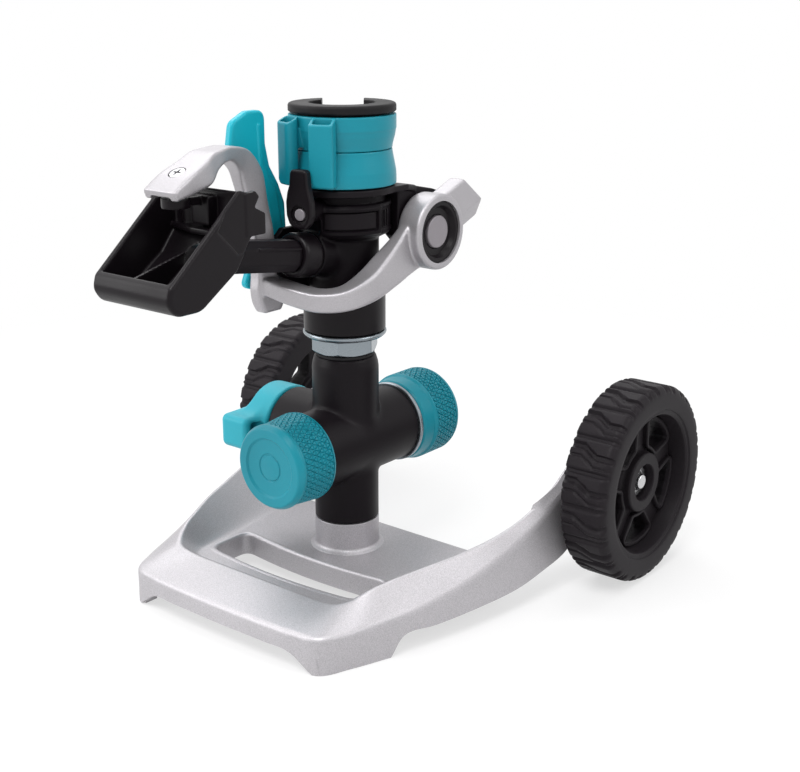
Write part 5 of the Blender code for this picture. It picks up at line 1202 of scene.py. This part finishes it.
def build_scoop():
    side = rounded([
        (-84, 210.5, 2.4), (-84, 193, 1.5), (-94, 179, 1.5), (-115, 165.6, 10.0), (-129, 165.6, 9.0),
        (-133.4, 172.0, 6.0), (-131.8, 178.0, 4.0), (-91, 212.8, 2.6),
    ], 2, 6)
    room = rounded([
        (-87.2, 240, 0), (-87.2, 194.2, 1.5), (-96.6, 182.6, 1.5), (-115.5, 169.4, 4.0), (-125, 169.4, 4.0),
        (-129.4, 173.4, 3.0), (-129.0, 240, 0),
    ], 2, 6)
    step = rounded([(-104.3, 197.3), (-93.1, 186.4), (-80, 186.4), (-80, 225), (-86, 225)], 0.4, 3)
    lug = rounded([
        (-88, 211), (-82, 211.5), (-79.6, 209), (-81.5, 206.2), (-82.5, 204.6), (-76.4, 201.6),
        (-76.4, 192.6), (-88, 192.6),
    ], 0.8, 3)
    shelf = rounded([(-22, -84), (-22, -90), (-3, -95.5), (12, -95.5), (22, -91), (22, -84)], 1.0, 3)
    fin = [(-130, 168), (-130, 177.6), (-126.5, 178.9), (-90, 187.6), (-84, 187.6), (-84, 180), (-112, 166)]
    fin = rounded(fin, 0.6, 3)

    def distance(points):
        outer = extruded(points, side, -24, 24, "X", 1.8)
        outer = carved(outer, extruded(points, step, 23.1, 30, "X", 0.2), 1.2)
        inner = extruded(points, room, -20.9, 20.9, "X", 1.2)
        shell = carved(outer, inner, 1.6)
        shell = joined(shell, extruded(points, lug, 20.8, 23.4, "X", 0.5), 0.6)
        shell = joined(shell, block(points, (-5.3, -92.4, 196), (5.3, -85, 208.6), 0.8), 0.8)
        boss = cylinder(points, "Z", 205, 209.4, 6.2, 0.4, (0, SCREW_Y - 1.5, 0))
        link = block(points, (-1.6, -104, 205), (1.6, -90, 208.6), 0.4)
        shell = joined(shell, joined(boss, link, 0.6), 0.6)
        shell = joined(shell, extruded(points, shelf, 192.6, 194.8, edge=0.5), 0.8)
        shell = joined(shell, np.maximum(extruded(points, fin, -3.6, -1.6, "X", 0.5), outer), 0.8)
        post = cylinder(points, "Z", 180, 208.6, 4.6, 0.4, (-14, -84.5, 0))
        window = cylinder(to_jet(points), "Z", 84, 101, 6.0, 0.3)
        return carved(joined(shell, np.maximum(post, outer), 0.6), window, 0.5)

    scoop = skin(distance, (-25.5, -135, 164), (25.5, -74, 215), 0.6)
    add_piece("water_scoop", scoop, "black_gloss", "arm", "scoop")
    line = (0, SCREW_Y, 0)
    head = leaned(rod(3.7, 217.2, SCREW_Z + 0.2, centre=line, edge=0.4))
    screw = fused(head, rod(1.7, 206, 217.6, centre=line, edge=0.3), voxel=0.25, smooth=1)
    arms = [
        leaned(slab(rounded(box, 0.2, 2), SCREW_Z - 1.0, 223, centre=line, edge=NO_EDGE))
        for box in cross_outlines(0.55, 2.3)
    ]
    add_piece("crosshead_screw", cut(screw, *arms), "steel", "arm", "scoop_screw")


def leaned(bm):
    """Tipped forward about the screw's head, square to the pad's sloping top."""
    return swung(bm, SCREW_LEAN, "X", (0, SCREW_Y, SCREW_Z))


def cross_outlines(half, reach):
    """The two bars of a screw's cross recess."""
    return [
        [(-half, -reach), (half, -reach), (half, reach), (-half, reach)],
        [(-reach, -half), (reach, -half), (reach, half), (-reach, half)],
    ]


# Carried-over nodes

def dress_nodes():
    """Materials of the CAD nodes that no piece stands for."""
    kinds = {
        "steel": ["base_screw", "axle_retainer_left", "axle_retainer_right"],
        "rubber": ["hose_washer", "cap_washer", "valve_seal", "adapter_gasket"],
        "brass": ["valve_plug", "head_tube"],
        "nylon": ["bearing_bush"],
        "grey_pin": ["flap_pin", "fixed_spindle", "valve_screw"],
    }
    for kind, names in kinds.items():
        for name in names:
            data = frame["nodes"][name].data
            data.materials.clear()
            data.materials.append(MATERIALS[kind])


# Camera, floor and light

IMAGE_SIZE = (800, 772)
VIEW_AZIMUTH = math.radians(38.9)
VIEW_ELEVATION = math.radians(17.0)
CAMERA_PLACE = (0.4192, -0.48265, 0.296)
FOCAL_PIXELS = 1329.0
SENSOR_WIDTH = 36.0
LIGHT_TARGET = Vector((0, 0, 0.1))


def add_camera():
    east, north = math.cos(VIEW_AZIMUTH), math.sin(VIEW_AZIMUTH)
    level, drop = math.cos(VIEW_ELEVATION), math.sin(VIEW_ELEVATION)
    right, ahead = Vector((east, north, 0)), Vector((-north * level, east * level, -drop))
    turn = Matrix((right, right.cross(ahead), -ahead)).transposed()
    camera = add_object("camera", bpy.data.cameras.new("camera"))
    camera.matrix_world = Matrix.Translation(CAMERA_PLACE) @ turn.to_4x4()
    camera.data.sensor_fit = "HORIZONTAL"
    camera.data.sensor_width = SENSOR_WIDTH
    camera.data.lens = FOCAL_PIXELS / IMAGE_SIZE[0] * SENSOR_WIDTH
    bpy.context.scene.camera = camera


def add_light(name, place, size, power):
    """An area light aimed at the middle of the object, in metres and watts."""
    light = bpy.data.lights.new(name, "AREA")
    light.shape = "RECTANGLE"
    light.size, light.size_y = size
    light.energy = power
    lamp = add_object(name, light)
    lamp.location = place
    lamp.rotation_euler = (LIGHT_TARGET - Vector(place)).to_track_quat("-Z", "Y").to_euler()


def calculated(tree, operation, one, other):
    return add_node(tree, "Math", {0: one, 1: other}, operation=operation).outputs[0]


def seen(tree):
    """1 for rays from the camera, a mirror or glass, and 0 for rays that carry light."""
    path = add_node(tree, "LightPath", {}).outputs
    either = calculated(tree, "MAXIMUM", path["Is Camera Ray"], path["Is Glossy Ray"])
    return calculated(tree, "MAXIMUM", either, path["Is Transmission Ray"])


def mixed(tree, share, one, other):
    return add_node(tree, "MixShader", {"Fac": share, 1: one, 2: other}).outputs[0]


def add_stage():
    world = bpy.data.worlds.new("studio")
    bpy.context.scene.world = world
    world.use_nodes = True
    tree = world.node_tree
    lit = tree.nodes["Background"]
    put(tree, lit, {"Color": (1.0, 0.99, 1.0, 1), "Strength": 0.4})
    white = add_node(tree, "Background", {"Color": (1, 1, 1, 1), "Strength": 1.0})
    both = mixed(tree, seen(tree), lit.outputs[0], white.outputs[0])
    put(tree, tree.nodes["World Output"], {"Surface": both})

    size = 6.0
    mesh = bpy.data.meshes.new("floor")
    corners = [(-size, -size, 0), (size, -size, 0), (size, size, 0), (-size, size, 0)]
    mesh.from_pydata(corners, [], [(0, 1, 2, 3)])
    floor = add_object("floor", mesh)
    floor.location.z = -0.0002
    material = bpy.data.materials.new("floor_paint")
    material.use_nodes = True
    tree = material.node_tree
    shader = tree.nodes["Principled BSDF"]
    put(tree, shader, {"Base Color": (0.9, 0.9, 0.9, 1), "Roughness": 0.9})
    place = add_node(tree, "TexCoord", {}).outputs["Object"]
    away = add_node(tree, "VectorMath", {0: place}, operation="LENGTH").outputs["Value"]
    inputs = {"Value": away, "From Min": 0.15, "From Max": 0.6, "To Min": 0.62, "To Max": 1.0}
    white = add_node(tree, "MapRange", inputs).outputs["Result"]
    glow = add_node(tree, "Emission", {}).outputs[0]
    both = mixed(tree, calculated(tree, "MULTIPLY", seen(tree), white), shader.outputs[0], glow)
    put(tree, tree.nodes["Material Output"], {"Surface": both})
    mesh.materials.append(material)
    floor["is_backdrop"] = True

    add_light("key", (0.25, -0.75, 1.3), (0.7, 0.6), 12)
    add_light("overhead", (0.05, 0.3, 1.45), (0.7, 0.7), 4)
    add_light("front_left", (-1.0, -1.2, 0.6), (1.0, 0.8), 9)
    add_light("left_high", (-0.9, -0.5, 1.15), (1.1, 0.9), 5)
    add_light("back_left", (-0.76, 0.48, 1.17), (0.9, 0.6), 5)
    add_light("right_back", (1.12, 0.36, 0.86), (0.6, 0.5), 4)


for build in (
    dress_nodes, build_base, build_wheels, build_manifold, build_cap_and_swivel, build_lever,
    build_adapter, build_drum, build_head_body, build_bracket, build_trip, build_nozzle, build_flap,
    build_arm, build_scoop, add_camera, add_stage,
):
    build()
bpy.context.scene.view_settings.view_transform = "Standard"

boxes = {"cad": cad_box, "visual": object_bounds()}
{name: [list(corner) for corner in corners] for name, corners in boxes.items()}
